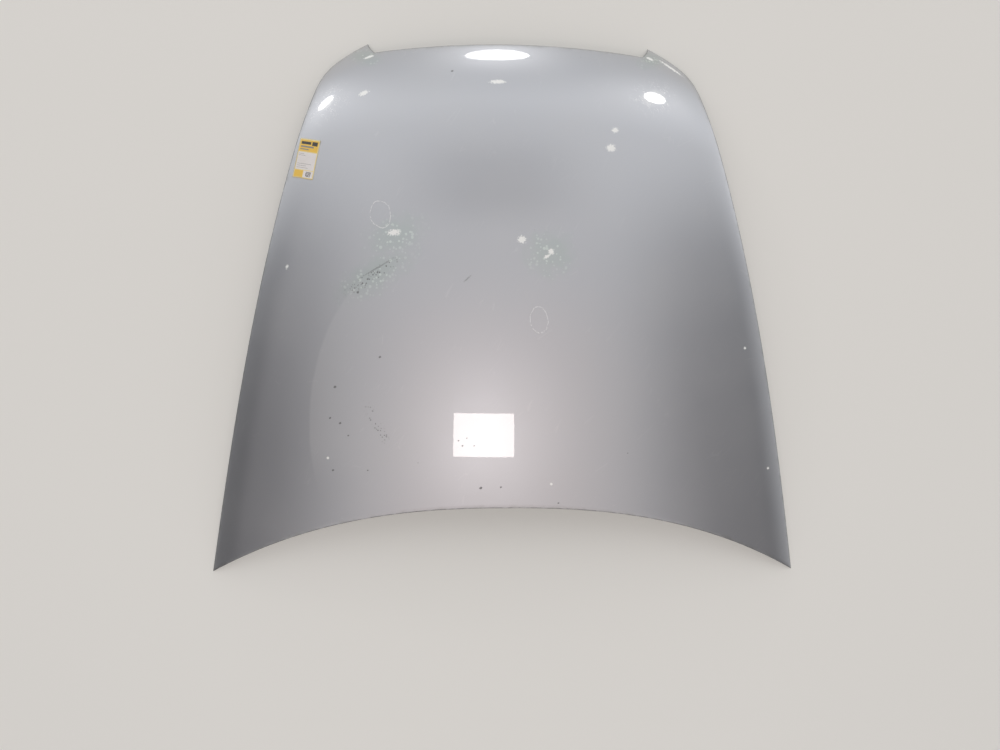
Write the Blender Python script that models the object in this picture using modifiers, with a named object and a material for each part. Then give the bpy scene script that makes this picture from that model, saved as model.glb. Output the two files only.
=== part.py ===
"""Steel car bonnet: a pressed skin hemmed round a pressed inner frame, with its latch, hinge and trim pieces.

Metres, +Z up, +Y towards the nose. The bonnet lies skin up on its own rim, as it comes to rest.
Lengths below are measured from the middle of the rear edge.
"""
import math

import bmesh
import bpy
from mathutils import Matrix, Vector
from mathutils.geometry import area_tri, delaunay_2d_cdt, interpolate_bezier

# Outline of the skin, seen from above
FRONT_Y = 1.096
FRONT_EDGE_RADIUS = 3.6
REAR_HALF_WIDTH = 0.732
REAR_SWEEP = 0.184
REAR_SWEEP_POWER = 2.35
SHOULDER_HALF_WIDTH = 0.478
SHOULDER_SETBACK = 0.170
HORN_HALF_WIDTH = 0.343
HORN_REACH = 0.020
HORN_STEP = 0.021
HORN_STEP_BOW = (0.0021, -0.0010)
SIDE_TAPER_REAR = 0.205
SIDE_TAPER_SHOULDER = 0.31
HEADLAMP_SLOPE = 0.66
SHOULDER_HANDLE = 0.098
HORN_HANDLE = 0.110
REAR_CORNER_RUN = 0.084

# Shape of the skin
ARCH_RADIUS = 4.6
ARCH_SETBACK = 0.576
CROWN_RADIUS = 2.7
NOSE_RUN = 0.200
NOSE_DROP = 0.045
NOSE_POWER = 2.3
NOSE_PLAN_RADIUS = 1.9
EDGE_DROP = 0.007
EDGE_RUN = 0.070
EDGE_POWER = 2.5

# Sheets and the hem that joins them
SKIN_THICKNESS = 0.0008
FRAME_THICKNESS = 0.0007
HEM_WIDTH = 0.010
HEM_GAP = 0.0005
GAP = 0.0003

# Inner frame: pressed depth, walls and ribs
RIB_DEPTH = 0.020
LIP_DEPTH = 0.0042
LIP_WIDTH = 0.012
WALL_RUN = 0.012
OPENING_RADIUS = 0.042
SIDE_FRAME_WIDTH = 0.100
REAR_FRAME_WIDTH = 0.120
FRONT_FRAME_WIDTH = 0.230
LONG_RIB_X_REAR = 0.205
LONG_RIB_X_FRONT = 0.165
CROSS_RIB_SETBACK = 0.575
RIB_WIDTH = 0.094
PAD_STEP = 0.005
PAD_WALL = 0.007
SEAT_RADIUS = 0.008
ROUND_SEAT = 0.018
HEM_MARGIN = 0.006
CORNER_CLEARANCE = 1.35

# Latch
LATCH_SETBACK = 0.110
LATCH_PAD = (0.058, 0.027)
LATCH_PLATE = (0.050, 0.019, 0.0025)
REINFORCEMENT_INSET = 0.004
REINFORCEMENT_THICKNESS = 0.0015
PLATE_CORNER = 0.006
LATCH_BOLT_SPACING = 0.072
STRIKER_WIRE = 0.008
STRIKER_WIDTH = 0.036
STRIKER_DROP = 0.044
HOOK_WIDTH = 0.018
HOOK_THICKNESS = 0.003
HOOK_DROP = 0.056
HOOK_TIP = 0.016
HOOK_FOOT = 0.016
HOOK_INSET = 0.002
HOOK_BEND = 0.004

# Hinge seats
HINGE_INSET = 0.188
HINGE_SETBACK = 0.035
HINGE_PAD = (0.026, 0.050)
HINGE_PLATE = (0.021, 0.044, 0.0020)
HINGE_BOLT_SPACING = 0.054

# Fasteners
BOLT = 0.008
BOLT_CLEARANCE = 0.0005
BOLT_HEAD = 0.0130
BOLT_HEAD_HEIGHT = 0.0053
BOLT_FLANGE = 0.0175
BOLT_FLANGE_HEIGHT = 0.0014
BOLT_CHAMFER = 0.0008
BOLT_END_INSET = 0.0005
HEAD_SUNK = 0.0006
NUT_WIDTH = 0.0130
NUT_HEIGHT = 0.0065

# Rubber, plastic and felt
BUFFER_INSET = 0.1155
BUFFER_SETBACK = 0.112
BUFFER_RADIUS = 0.014
BUFFER_HEIGHT = 0.022
BUFFER_FLANGE = 0.004
BUFFER_WAIST = 0.0108
BUFFER_TIP = 0.0072
BUFFER_ROUND = 0.003
BUFFER_HOLE = 0.0050
BUFFER_BARB = 0.010
BARB_REACH = 0.0014
BARB_CLEARANCE = 0.0008
STAY_INSET = 0.0715
STAY_SETBACK = 0.165
STAY_HOLE = 0.0125
STAY_BORE = 0.0078
STAY_FLANGE = 0.004
STAY_FLANGE_HEIGHT = 0.0025
STAY_BARB = 0.0035
STAY_CHAMFER = 0.001
CLIP_HEAD = 0.0115
CLIP_STEM = 0.0034
CLIP_HOLE = 0.0040
CLIP_CLEARANCE = 0.0006
CLIP_BARB = 0.006
CLIP_RIM = 0.001
CLIP_DOME = 0.0012
CLIP_FROM_END = 0.055
CLIP_FROM_RIB = 0.165
FELT_THICKNESS = 0.008
FELT_CLEARANCE = 0.0010
FELT_OVERLAP = 0.070
FELT_END_OVERLAP = 0.042
FELT_BORDER = 0.020
FELT_RADIUS = 0.045
FELT_PITCH = 0.072
MASTIC_RADIUS = 0.0055
MASTIC_CLEARANCE = 0.0010
SEAL_HALF_LENGTH = 0.285
SEAL_SETBACK = 0.054
SEAL_STANDOFF = 0.0012
SEAL_RADIUS = 0.0055
SEAL_FOOT = 0.009
SEAL_FOOT_HEIGHT = 0.0022
SEAL_BULB = 0.0083

# Paper label on the skin
LABEL_WIDTH = 0.050
LABEL_LENGTH = 0.093
LABEL_X = -0.4727
LABEL_Y = 0.8136
LABEL_TURN = -11.5
LABEL_THICKNESS = 0.0002

# Mesh fineness
SIDE_STEPS = 16
HEADLAMP_STEPS = 6
HALF_STEPS = 10
LOOP_PITCH = 0.075
ROUND_STEPS = 12
CLIP_STEPS = 8
SEAL_STEPS = 18
FLOOR_PITCH = 0.045
FLOOR_MARGIN = 0.012
SLIVER = 1e-8
SAME_POINT = 1e-7
FINE_STEPS = (90, 60)
SEAT_STEPS = 2
BEND_STEPS = 12
MASTIC_SIDES = 8
BULB_STEPS = 6
LABEL_GRID = (4, 8)
SMALLEST_RADIUS = 0.0005
TOOL_OVERRUN = 0.002
WELD = 0.00001
CREASE = 40
PRESSING_CREASE = 25


def paint(name, color, roughness, metallic=0.0):
    material = bpy.data.materials.new(name)
    material.use_nodes = True
    shader = material.node_tree.nodes["Principled BSDF"]
    shader.inputs["Base Color"].default_value = (*color, 1.0)
    shader.inputs["Roughness"].default_value = roughness
    shader.inputs["Metallic"].default_value = metallic
    material.diffuse_color = (*color, 1.0)
    return material


# The outline's curves

def bezier(start, start_handle, end_handle, end, steps):
    return interpolate_bezier(Vector(start), Vector(start_handle), Vector(end_handle), Vector(end), steps + 1)


def side_curve(rear_steps, lamp_steps):
    """The right edge from the rear corner past the shoulder, then along the headlamp to the horn's tip."""
    rear = Vector((REAR_HALF_WIDTH, -REAR_SWEEP))
    shoulder = Vector((SHOULDER_HALF_WIDTH, FRONT_Y - SHOULDER_SETBACK))
    horn = Vector((HORN_HALF_WIDTH, FRONT_Y + HORN_REACH))
    third = (shoulder.y - rear.y) / 3
    run = bezier(rear, rear + third * Vector((-SIDE_TAPER_REAR, 1)),
                 shoulder - third * Vector((-SIDE_TAPER_SHOULDER, 1)), shoulder, rear_steps)
    lamp = bezier(shoulder, shoulder + SHOULDER_HANDLE * Vector((-SIDE_TAPER_SHOULDER, 1)),
                  horn + HORN_HANDLE * Vector((1, -HEADLAMP_SLOPE)), horn, lamp_steps)
    return [Vector(p[:2]) for p in run + lamp[1:]]


FINE_SIDE = side_curve(*FINE_STEPS)


def side_at(y):
    """Half width at y, and the cosine of the edge's slant there."""
    y = min(max(y, FINE_SIDE[0].y), FINE_SIDE[-1].y)
    for a, b in zip(FINE_SIDE, FINE_SIDE[1:]):
        if y <= b.y:
            share = (y - a.y) / (b.y - a.y)
            return a.x + share * (b.x - a.x), (b.y - a.y) / (b - a).length
    return FINE_SIDE[-1].x, 1.0


def rear_edge(x):
    return -REAR_SWEEP * (abs(x) / REAR_HALF_WIDTH) ** REAR_SWEEP_POWER


def front_edge(x):
    return FRONT_Y - x * x / (2 * FRONT_EDGE_RADIUS)


def from_side(x, y):
    half, slant = side_at(y)
    return (half - abs(x)) * slant


def from_edge(y, inset):
    """The place across, on the right, that lies this far inboard of the edge at y."""
    return side_at(y)[0] - inset


def edge_distance(x, y):
    return min(from_side(x, y), y - rear_edge(x), front_edge(x) - y)


# The skin's surface

def height(x, y):
    arch = (y - FRONT_Y + ARCH_SETBACK) ** 2 / (2 * ARCH_RADIUS)
    crown = x * x / (2 * CROWN_RADIUS)
    into_nose = (y - FRONT_Y + NOSE_RUN + x * x / (2 * NOSE_PLAN_RADIUS)) / NOSE_RUN
    nose = NOSE_DROP * max(0.0, into_nose) ** NOSE_POWER
    into_edge = 1 - from_side(x, y) / EDGE_RUN
    edge = EDGE_DROP * max(0.0, into_edge) ** EDGE_POWER
    return -arch - crown - nose - edge


def normal(x, y, step=0.0005):
    slope_x = (height(x + step, y) - height(x - step, y)) / (2 * step)
    slope_y = (height(x, y + step) - height(x, y - step)) / (2 * step)
    return Vector((-slope_x, -slope_y, 1)).normalized()


def under(x, y, depth):
    """The point that lies this deep under the skin's outer face, square to it."""
    return Vector((x, y, height(x, y))) - depth * normal(x, y)


def seat(x, y, depth):
    """A frame on the flat seat at this depth: X across, Z out through the skin."""
    out = normal(x, y)
    across = Vector((1, 0, 0)) - out.x * out
    across.normalize()
    along = out.cross(across)
    frame = Matrix((across, along, out)).transposed().to_4x4()
    frame.translation = under(x, y, depth)
    return frame


# Loops of plan points

def outline():
    """The four sides of the skin, counterclockwise from the rear left corner, as plan points."""
    half = [k / HALF_STEPS for k in range(HALF_STEPS, 0, -1)]
    rear_inner = REAR_HALF_WIDTH - REAR_CORNER_RUN
    rear_x = [REAR_HALF_WIDTH, (REAR_HALF_WIDTH + rear_inner) / 2] + [rear_inner * share for share in half]
    foot = HORN_HALF_WIDTH - HORN_STEP
    rear = [Vector((-x, rear_edge(x))) for x in rear_x] + [Vector((0, 0))]
    rear += [Vector((x, rear_edge(x))) for x in reversed(rear_x)]
    right = side_curve(SIDE_STEPS, HEADLAMP_STEPS)
    tip = right[-1]
    base = Vector((foot, front_edge(foot)))
    middle = (tip + base) / 2 + Vector(HORN_STEP_BOW)
    front = [tip, middle] + [Vector((foot * share, front_edge(foot * share))) for share in half]
    front += [Vector((0, FRONT_Y))]
    front += [Vector((-p.x, p.y)) for p in reversed(front[:-1])]
    left = [Vector((-p.x, p.y)) for p in reversed(right)]
    return rear, right, front, left


def inset(loop, distance):
    """A closed counterclockwise loop moved inwards by a distance, mitred at its corners."""
    moved = []
    for i, here in enumerate(loop):
        before = (here - loop[i - 1]).normalized()
        after = (loop[(i + 1) % len(loop)] - here).normalized()
        first = Vector((-before.y, before.x))
        second = Vector((-after.y, after.x))
        moved.append(here + distance * (first + second) / (1 + first.dot(second)))
    return moved


def rim_loop(distance):
    """The line this far inside the rim, for the inner frame's walls; it passes behind the horns."""
    rear, right, front, left = outline()
    clear = distance * CORNER_CLEARANCE
    loop = []
    for p in inset(rear + right[1:-1], distance)[1:len(rear) - 1]:
        if from_side(p.x, p.y) > clear:
            loop.append(p)
    right_run = []
    for a, b in zip(right, right[1:]):
        along = (b - a).normalized()
        p = (a + b) / 2 + distance * Vector((-along.y, along.x))
        if p.y - rear_edge(p.x) > clear and front_edge(p.x) - p.y > clear:
            right_run.append(p)
    loop += right_run
    foot = HORN_HALF_WIDTH + HORN_STEP
    for k in range(-HALF_STEPS, HALF_STEPS + 1):
        x = -foot * k / HALF_STEPS
        p = Vector((x, front_edge(x) - distance))
        if from_side(p.x, p.y) > clear:
            loop.append(p)
    loop += [Vector((-p.x, p.y)) for p in reversed(right_run)]
    return loop


def rounded(corners, radius, outset=0.0, corner_steps=3, pitch=LOOP_PITCH):
    """A counterclockwise polygon with round corners, moved outwards by the outset."""
    corners = inset([Vector(c) for c in corners], -outset)
    radius = max(radius + outset, SMALLEST_RADIUS)
    loop = []
    for i, corner in enumerate(corners):
        before = (corners[i - 1] - corner).normalized()
        after = (corners[(i + 1) % len(corners)] - corner).normalized()
        half = math.acos(before.dot(after)) / 2
        reach = radius / math.tan(half)
        centre = corner + (before + after).normalized() * radius / math.sin(half)
        start = corner + before * reach - centre
        sweep = math.pi - 2 * half
        for k in range(corner_steps + 1):
            turn = Matrix.Rotation(sweep * k / corner_steps, 2)
            loop.append(centre + turn @ start)
    filled = []
    for i, here in enumerate(loop):
        ahead = loop[(i + 1) % len(loop)]
        parts = max(1, round((ahead - here).length / pitch))
        filled += [here.lerp(ahead, k / parts) for k in range(parts)]
    return filled


def inside(point, loop):
    found = False
    for i, a in enumerate(loop):
        b = loop[i - 1]
        if (a.y > point.y) != (b.y > point.y):
            if point.x < (b.x - a.x) * (point.y - a.y) / (b.y - a.y) + a.x:
                found = not found
    return found


# Making objects

PARTS = None
CUTTERS = None
DATUM = None


def add(name, mesh, material, frame=None, collection=None):
    body = bpy.data.objects.new(name, mesh)
    (collection or PARTS).objects.link(body)
    body.parent = DATUM
    if frame is not None:
        body.matrix_basis = frame
    if material is not None:
        mesh.materials.append(material)
    return body


def to_mesh(name, shape, smooth=False):
    mesh = bpy.data.meshes.new(name)
    shape.to_mesh(mesh)
    shape.free()
    if smooth:
        mesh.shade_smooth()
        mesh.set_sharp_from_angle(angle=math.radians(CREASE))
    return mesh


def thicken(body, thickness):
    wall = body.modifiers.new("Sheet", "SOLIDIFY")
    wall.thickness = thickness
    wall.offset = -1
    wall.use_even_offset = True
    return body


def cut(body, cutter):
    hole = body.modifiers.new("Holes", "BOOLEAN")
    hole.operation = "DIFFERENCE"
    hole.solver = "EXACT"
    hole.object = cutter


def sheet(name, material, thickness, loops, holes=(), loose=(), ties=()):
    """A pressed sheet through closed loops of plan points with their places; a hole's loop stays empty."""
    plan = []
    places = []
    edges = list(ties)
    for loop in list(loops) + list(holes):
        first = len(plan)
        for point, place in loop:
            plan.append(point)
            places.append(place)
        edges += [(first + i, first + (i + 1) % len(loop)) for i in range(len(loop))]
    for point, place in loose:
        plan.append(point)
        places.append(place)
    verts, _, faces, origins, _, _ = delaunay_2d_cdt(plan, edges, [], 0, SAME_POINT)
    outer = [point for point, _ in loops[0]]
    empty = [[point for point, _ in hole] for hole in holes]
    kept = []
    for face in faces:
        middle = sum((verts[i] for i in face), Vector((0, 0))) / len(face)
        if area_tri(*[verts[i] for i in face]) < SLIVER:
            continue
        if inside(middle, outer) and not any(inside(middle, hole) for hole in empty):
            kept.append([origins[i][0] for i in face])
    mesh = bpy.data.meshes.new(name)
    mesh.from_pydata(places, [], kept)
    mesh.shade_smooth()
    mesh.set_sharp_from_angle(angle=math.radians(PRESSING_CREASE))
    return thicken(add(name, mesh, material), thickness)


def at_depth(loop, depth):
    return [(p, under(p.x, p.y, depth)) for p in loop]


def on_seat(frame, x, y, half_x, half_y, radius):
    """A flat platform's edge: plan points round (x, y), with their places on the seat's plane."""
    corners = [(-half_x, -half_y), (half_x, -half_y), (half_x, half_y), (-half_x, half_y)]
    local = rounded(corners, radius, 0.0, SEAT_STEPS)
    return [(Vector((x, y)) + p, frame @ Vector((p.x, p.y, 0))) for p in local]


def turned(name, material, profile, frame, steps=ROUND_STEPS, ring=False):
    """A profile of (radius, height) points turned round the frame's Z; it runs down its outer side."""
    shape = bmesh.new()
    points = [shape.verts.new((r, 0, z)) for r, z in profile]
    for a, b in zip(points, points[1:]):
        shape.edges.new((a, b))
    if ring:
        shape.edges.new((points[-1], points[0]))
    body = add(name, to_mesh(name, shape), material, frame)
    screw = body.modifiers.new("Turn", "SCREW")
    screw.steps = steps
    screw.render_steps = steps
    screw.use_merge_vertices = True
    screw.merge_threshold = WELD
    screw.use_smooth_shade = True
    return body


def prism(name, material, sides, radius, z_low, z_high, frame, collection=None):
    shape = bmesh.new()
    bmesh.ops.create_cone(shape, cap_ends=True, segments=sides, radius1=radius, radius2=radius,
                          depth=z_high - z_low, matrix=Matrix.Translation((0, 0, (z_low + z_high) / 2)))
    return add(name, to_mesh(name, shape), material, frame, collection)


def plate(name, material, half_x, half_y, thickness, z_low, frame):
    """A flat steel plate with round corners."""
    shape = bmesh.new()
    loop = rounded([(-half_x, -half_y), (half_x, -half_y), (half_x, half_y), (-half_x, half_y)],
                   PLATE_CORNER, 0.0, SEAT_STEPS, 1)
    ring = [shape.verts.new((p.x, p.y, z_low + thickness)) for p in loop]
    shape.faces.new(ring)
    body = add(name, to_mesh(name, shape), material, frame)
    return thicken(body, thickness)


def tool(name, sides, radius, z_low, z_high, frame):
    """A prism that cuts or is joined to a piece and isn't one itself."""
    body = prism(name, None, sides, radius, z_low, z_high, frame, CUTTERS)
    body.hide_render = True
    body.display_type = "WIRE"
    return body


def hole_tool(name, radius, z_low, z_high, frame):
    """A round cutter that goes past both faces of what lies between the two heights."""
    return tool(name, ROUND_STEPS, radius, z_low - TOOL_OVERRUN, z_high + TOOL_OVERRUN, frame)


def shifted(frame, x, y, z=0.0):
    return frame @ Matrix.Translation((x, y, z))


# The two pressings

def hem_stack():
    """Height of the closed hem: skin, inner frame's flange and the skin's return."""
    return 2 * SKIN_THICKNESS + FRAME_THICKNESS + 2 * HEM_GAP


def outer_skin(material):
    """The painted pressing: its rim folds under the inner frame's flange as a closed hem."""
    rear, right, front, left = outline()
    rim = rear[:-1] + right[:-1] + front[:-1] + left[:-1]
    stack = hem_stack()
    fold = stack / 2
    top_ring = inset(rim, fold)
    hem_ring = inset(rim, HEM_WIDTH)
    count = len(rim)
    across = len(rear) - 1
    along = len(right) - 1

    shape = bmesh.new()

    def ring(points, depth):
        return [shape.verts.new(under(p.x, p.y, depth)) for p in points]

    sections = [(hem_ring, stack), (top_ring, stack), (rim, fold), (top_ring, 0), (hem_ring, 0)]
    rings = [ring(points, depth) for points, depth in sections]
    for i in range(count):
        j = (i + 1) % count
        for low, high in zip(rings[:3], rings[1:4]):
            shape.faces.new((low[i], low[j], high[j]))
            shape.faces.new((low[i], high[j], high[i]))
        low, high = rings[3:]
        shape.faces.new((low[i], low[j], high[i]))
        shape.faces.new((low[j], high[j], high[i]))

    def corner(i):
        return hem_ring[i % count]

    inner = rings[-1]
    grid = {}
    for i in range(across + 1):
        grid[i, 0] = inner[i]
        grid[across - i, along] = inner[across + along + i]
    for j in range(1, along):
        grid[across, j] = inner[across + j]
        grid[0, along - j] = inner[2 * across + along + j]
    for i in range(1, across):
        for j in range(1, along):
            low, high = corner(i), corner(2 * across + along - i)
            near, far = corner(count - j), corner(across + j)
            u = edge_share(hem_ring, 0, i, across) * (1 - j / along)
            u += (1 - edge_share(hem_ring, across + along, across - i, across)) * j / along
            v = edge_share(hem_ring, across, j, along)
            flat = (1 - v) * low + v * high + (1 - u) * near + u * far
            flat -= (1 - u) * ((1 - v) * corner(0) + v * corner(2 * across + along))
            flat -= u * ((1 - v) * corner(across) + v * corner(across + along))
            grid[i, j] = shape.verts.new(under(flat.x, flat.y, 0))
    for i in range(across):
        for j in range(along):
            shape.faces.new((grid[i, j], grid[i + 1, j], grid[i + 1, j + 1], grid[i, j + 1]))
    mesh = to_mesh("outer_skin", shape, smooth=True)
    return thicken(add("outer_skin", mesh, material), SKIN_THICKNESS)


def edge_share(loop, first, steps, total):
    """How far along one side of the loop a point lies, as a share of that side's length."""
    side = [loop[(first + k) % len(loop)] for k in range(total + 1)]
    lengths = [(b - a).length for a, b in zip(side, side[1:])]
    return sum(lengths[:steps]) / sum(lengths)


def openings():
    """The inner frame's six openings, each as the corners of its lip's edge, counterclockwise."""
    rear_y = REAR_FRAME_WIDTH
    front_y = FRONT_Y - FRONT_FRAME_WIDTH
    cross_y = FRONT_Y - CROSS_RIB_SETBACK
    half = RIB_WIDTH / 2

    def rib(y):
        share = (y - rear_y) / (front_y - rear_y)
        return LONG_RIB_X_REAR + share * (LONG_RIB_X_FRONT - LONG_RIB_X_REAR)

    def outboard(y):
        edge, slant = side_at(y)
        return edge - SIDE_FRAME_WIDTH / slant

    found = {}
    for name, low, high in (("rear", rear_y, cross_y - half), ("front", cross_y + half, front_y)):
        centre = [(rib(low) - half, low), (rib(high) - half, high)]
        side = [(rib(low) + half, low), (outboard(low), low),
                (outboard(high), high), (rib(high) + half, high)]
        found[name + "_centre"] = [(-centre[0][0], low), centre[0], centre[1], (-centre[1][0], high)]
        found[name + "_right"] = side
        found[name + "_left"] = [(-x, y) for x, y in reversed(side)]
    return found


def inner_frame(material, seats):
    """The pressed carrier: hem flange, rim wall, ribs at one depth, and a lip round each opening."""
    rear, right, front, left = outline()
    rim = rear[:-1] + right[:-1] + front[:-1] + left[:-1]
    flange_depth = SKIN_THICKNESS + HEM_GAP
    fold = hem_stack() / 2
    wall_top = HEM_WIDTH + HEM_MARGIN
    wall_foot = wall_top + WALL_RUN
    flange = at_depth(inset(rim, HEM_WIDTH), flange_depth)
    fold_line = at_depth(inset(rim, fold), flange_depth)
    share = SKIN_THICKNESS / (HEM_WIDTH - fold)
    edge = [(p.lerp(q, share), a.lerp(b, share)) for (p, a), (q, b) in zip(fold_line, flange)]
    loops = [edge, flange,
             at_depth(rim_loop(wall_top), flange_depth + HEM_MARGIN / 2),
             at_depth(rim_loop(wall_foot), RIB_DEPTH)]
    holes = []
    taken = []
    for corners in openings().values():
        loops.append(at_depth(rounded(corners, OPENING_RADIUS, LIP_WIDTH + WALL_RUN), RIB_DEPTH))
        loops.append(at_depth(rounded(corners, OPENING_RADIUS, LIP_WIDTH), LIP_DEPTH))
        holes.append(at_depth(rounded(corners, OPENING_RADIUS), LIP_DEPTH))
        taken.append(rounded(corners, OPENING_RADIUS, LIP_WIDTH + WALL_RUN + FLOOR_MARGIN))
    for frame, x, y, half_x, half_y in seats:
        loops.append(on_seat(frame, x, y, half_x, half_y, SEAT_RADIUS))
        corners = [(x - half_x, y - half_y), (x + half_x, y - half_y), (x + half_x, y + half_y),
                   (x - half_x, y + half_y)]
        loops.append(at_depth(rounded(corners, SEAT_RADIUS, PAD_WALL, SEAT_STEPS), RIB_DEPTH))
        taken.append(rounded(corners, SEAT_RADIUS, PAD_WALL + FLOOR_MARGIN, SEAT_STEPS))
    loose = []
    columns = round(REAR_HALF_WIDTH / FLOOR_PITCH)
    rows = round(FRONT_Y / FLOOR_PITCH)
    for i in range(-columns, columns + 1):
        for j in range(rows + 1):
            p = Vector((i * FLOOR_PITCH, j * FLOOR_PITCH))
            seal = abs(front_edge(p.x) - SEAL_SETBACK - p.y) < FLOOR_MARGIN and abs(p.x) < SEAL_HALF_LENGTH
            near = edge_distance(p.x, p.y) < wall_foot + FLOOR_MARGIN or seal
            if not near and not any(inside(p, area) for area in taken):
                loose.append((p, under(p.x, p.y, RIB_DEPTH)))
    loose += at_depth(seal_line(), RIB_DEPTH)
    count = len(rim)
    ties = [(count + i, (i + 1) % count) for i in range(count)]
    return sheet("inner_frame", material, FRAME_THICKNESS, loops, holes, loose, ties)


# Latch at the front, hinge seats at the rear

def nut(name, material, z_low, frame):
    body = prism(name, material, 6, NUT_WIDTH / math.sqrt(3), z_low, z_low + NUT_HEIGHT, frame)
    thread = hole_tool(name + "_thread", BOLT / 2 + GAP, z_low, z_low + NUT_HEIGHT, frame)
    cut(body, thread)
    return body


def bolt(name, material, z_seat, z_end, frame):
    """A hexagon flange bolt: its flange bears up against z_seat and its shank ends at z_end."""
    flange = z_seat - BOLT_FLANGE_HEIGHT
    shank = BOLT / 2
    profile = [(0, z_end), (shank - BOLT_CHAMFER, z_end), (shank, z_end - BOLT_CHAMFER), (shank, z_seat),
               (BOLT_FLANGE / 2, z_seat), (BOLT_FLANGE / 2, flange), (0, flange)]
    body = turned(name, material, profile, frame)
    head = tool(name + "_head", 6, BOLT_HEAD / math.sqrt(3), z_seat - BOLT_HEAD_HEIGHT,
                flange + HEAD_SUNK, frame)
    join = body.modifiers.new("Head", "BOOLEAN")
    join.operation = "UNION"
    join.solver = "EXACT"
    join.object = head


def latch(frame, steel, bright):
    """The striker's plate, loop and fixed safety hook, bolted through the inner frame into weld nuts."""
    half_x, half_y, thickness = LATCH_PLATE
    reinforcement = plate("latch_reinforcement", steel, LATCH_PAD[0] - REINFORCEMENT_INSET,
                          LATCH_PAD[1] - REINFORCEMENT_INSET, REINFORCEMENT_THICKNESS, GAP, frame)
    nut_low = GAP + REINFORCEMENT_THICKNESS + GAP
    plate_low = -FRAME_THICKNESS - GAP - thickness
    striker = plate("striker_plate", bright, half_x, half_y, thickness, plate_low, frame)
    tools = []
    for side, name in ((-1, "left"), (1, "right")):
        place = shifted(frame, side * LATCH_BOLT_SPACING / 2, 0)
        nut("latch_weld_nut_" + name, steel, nut_low, place)
        bolt("striker_bolt_" + name, bright, plate_low - GAP, nut_low + NUT_HEIGHT - BOLT_END_INSET, place)
        hole = hole_tool("striker_hole_" + name, BOLT / 2 + BOLT_CLEARANCE, plate_low, nut_low, place)
        cut(reinforcement, hole)
        cut(striker, hole)
        tools.append(hole)

    foot = plate_low - GAP
    half = STRIKER_WIDTH / 2
    points = [Vector((-half, 0, foot))]
    for k in range(BEND_STEPS + 1):
        angle = math.pi * (1 + k / BEND_STEPS)
        drop = foot - STRIKER_DROP + half + half * math.sin(angle)
        points.append(Vector((half * math.cos(angle), 0, drop)))
    points.append(Vector((half, 0, foot)))
    wire("striker_loop", bright, points, STRIKER_WIRE / 2, frame)
    safety_hook(frame, foot, half_y - HOOK_INSET, bright)
    return tools


def safety_hook(frame, foot, back, material):
    """The fixed hook behind the loop: a bent strip from under the striker's plate, with a turned-up tip."""
    low = foot - HOOK_DROP
    profile = [(back - HOOK_FOOT, foot), (back, foot), (back + HOOK_BEND, foot - HOOK_BEND),
               (back + HOOK_BEND, low + HOOK_BEND), (back, low), (back - HOOK_TIP + HOOK_BEND, low),
               (back - HOOK_TIP, low + HOOK_BEND)]
    shape = bmesh.new()
    rows = [[shape.verts.new((side * HOOK_WIDTH / 2, y, z)) for y, z in profile] for side in (-1, 1)]
    for k in range(len(profile) - 1):
        shape.faces.new((rows[0][k], rows[1][k], rows[1][k + 1], rows[0][k + 1]))
    thicken(add("safety_hook", to_mesh("safety_hook", shape), material, frame), HOOK_THICKNESS)


def wire(name, material, points, radius, frame):
    curve = bpy.data.curves.new(name, "CURVE")
    curve.dimensions = "3D"
    curve.bevel_depth = radius
    curve.bevel_resolution = 2
    curve.use_fill_caps = True
    spline = curve.splines.new("POLY")
    spline.points.add(len(points) - 1)
    for target, point in zip(spline.points, points):
        target.co = (*point, 1)
    curve.materials.append(material)
    body = bpy.data.objects.new(name, curve)
    PARTS.objects.link(body)
    body.parent = DATUM
    body.matrix_basis = frame
    return body


def hinge_seat(side, frame, steel):
    """The reinforcement plate and two weld nuts that a hinge's arm is bolted to."""
    half_x, half_y, thickness = HINGE_PLATE
    body = plate("hinge_reinforcement_" + side, steel, half_x, half_y, thickness, GAP, frame)
    tools = []
    for sign, name in ((-1, "rear"), (1, "front")):
        place = shifted(frame, 0, sign * HINGE_BOLT_SPACING / 2)
        nut(f"hinge_weld_nut_{side}_{name}", steel, GAP + thickness + GAP, place)
        hole = hole_tool(f"hinge_hole_{side}_{name}", BOLT / 2 + BOLT_CLEARANCE, -FRAME_THICKNESS,
                         GAP + thickness, place)
        cut(body, hole)
        tools.append(hole)
    return tools


# Rubber, plastic, felt, mastic and paper

def barb(stem, length):
    """The barbed end of a push-in stem, above the sheet that it grips."""
    widest = stem + BARB_REACH
    return [(0, length), (stem / 2, length), (widest, length / 3), (widest, BARB_CLEARANCE),
            (stem, BARB_CLEARANCE)]


def buffer(name, rubber, frame):
    """A rubber stop: a tapered body below the sheet and a barbed stem through it."""
    face = -FRAME_THICKNESS - GAP
    tip = face - BUFFER_HEIGHT
    stem = BUFFER_HOLE - GAP
    profile = barb(stem, BUFFER_BARB)
    profile += [(stem, face), (BUFFER_RADIUS, face), (BUFFER_RADIUS, face - BUFFER_FLANGE),
                (BUFFER_WAIST, face - BUFFER_FLANGE - BUFFER_ROUND), (BUFFER_WAIST, tip + BUFFER_ROUND),
                (BUFFER_TIP, tip), (0, tip)]
    turned(name, rubber, profile, frame)
    return hole_tool(name + "_hole", BUFFER_HOLE, -FRAME_THICKNESS, 0, frame)


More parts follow.
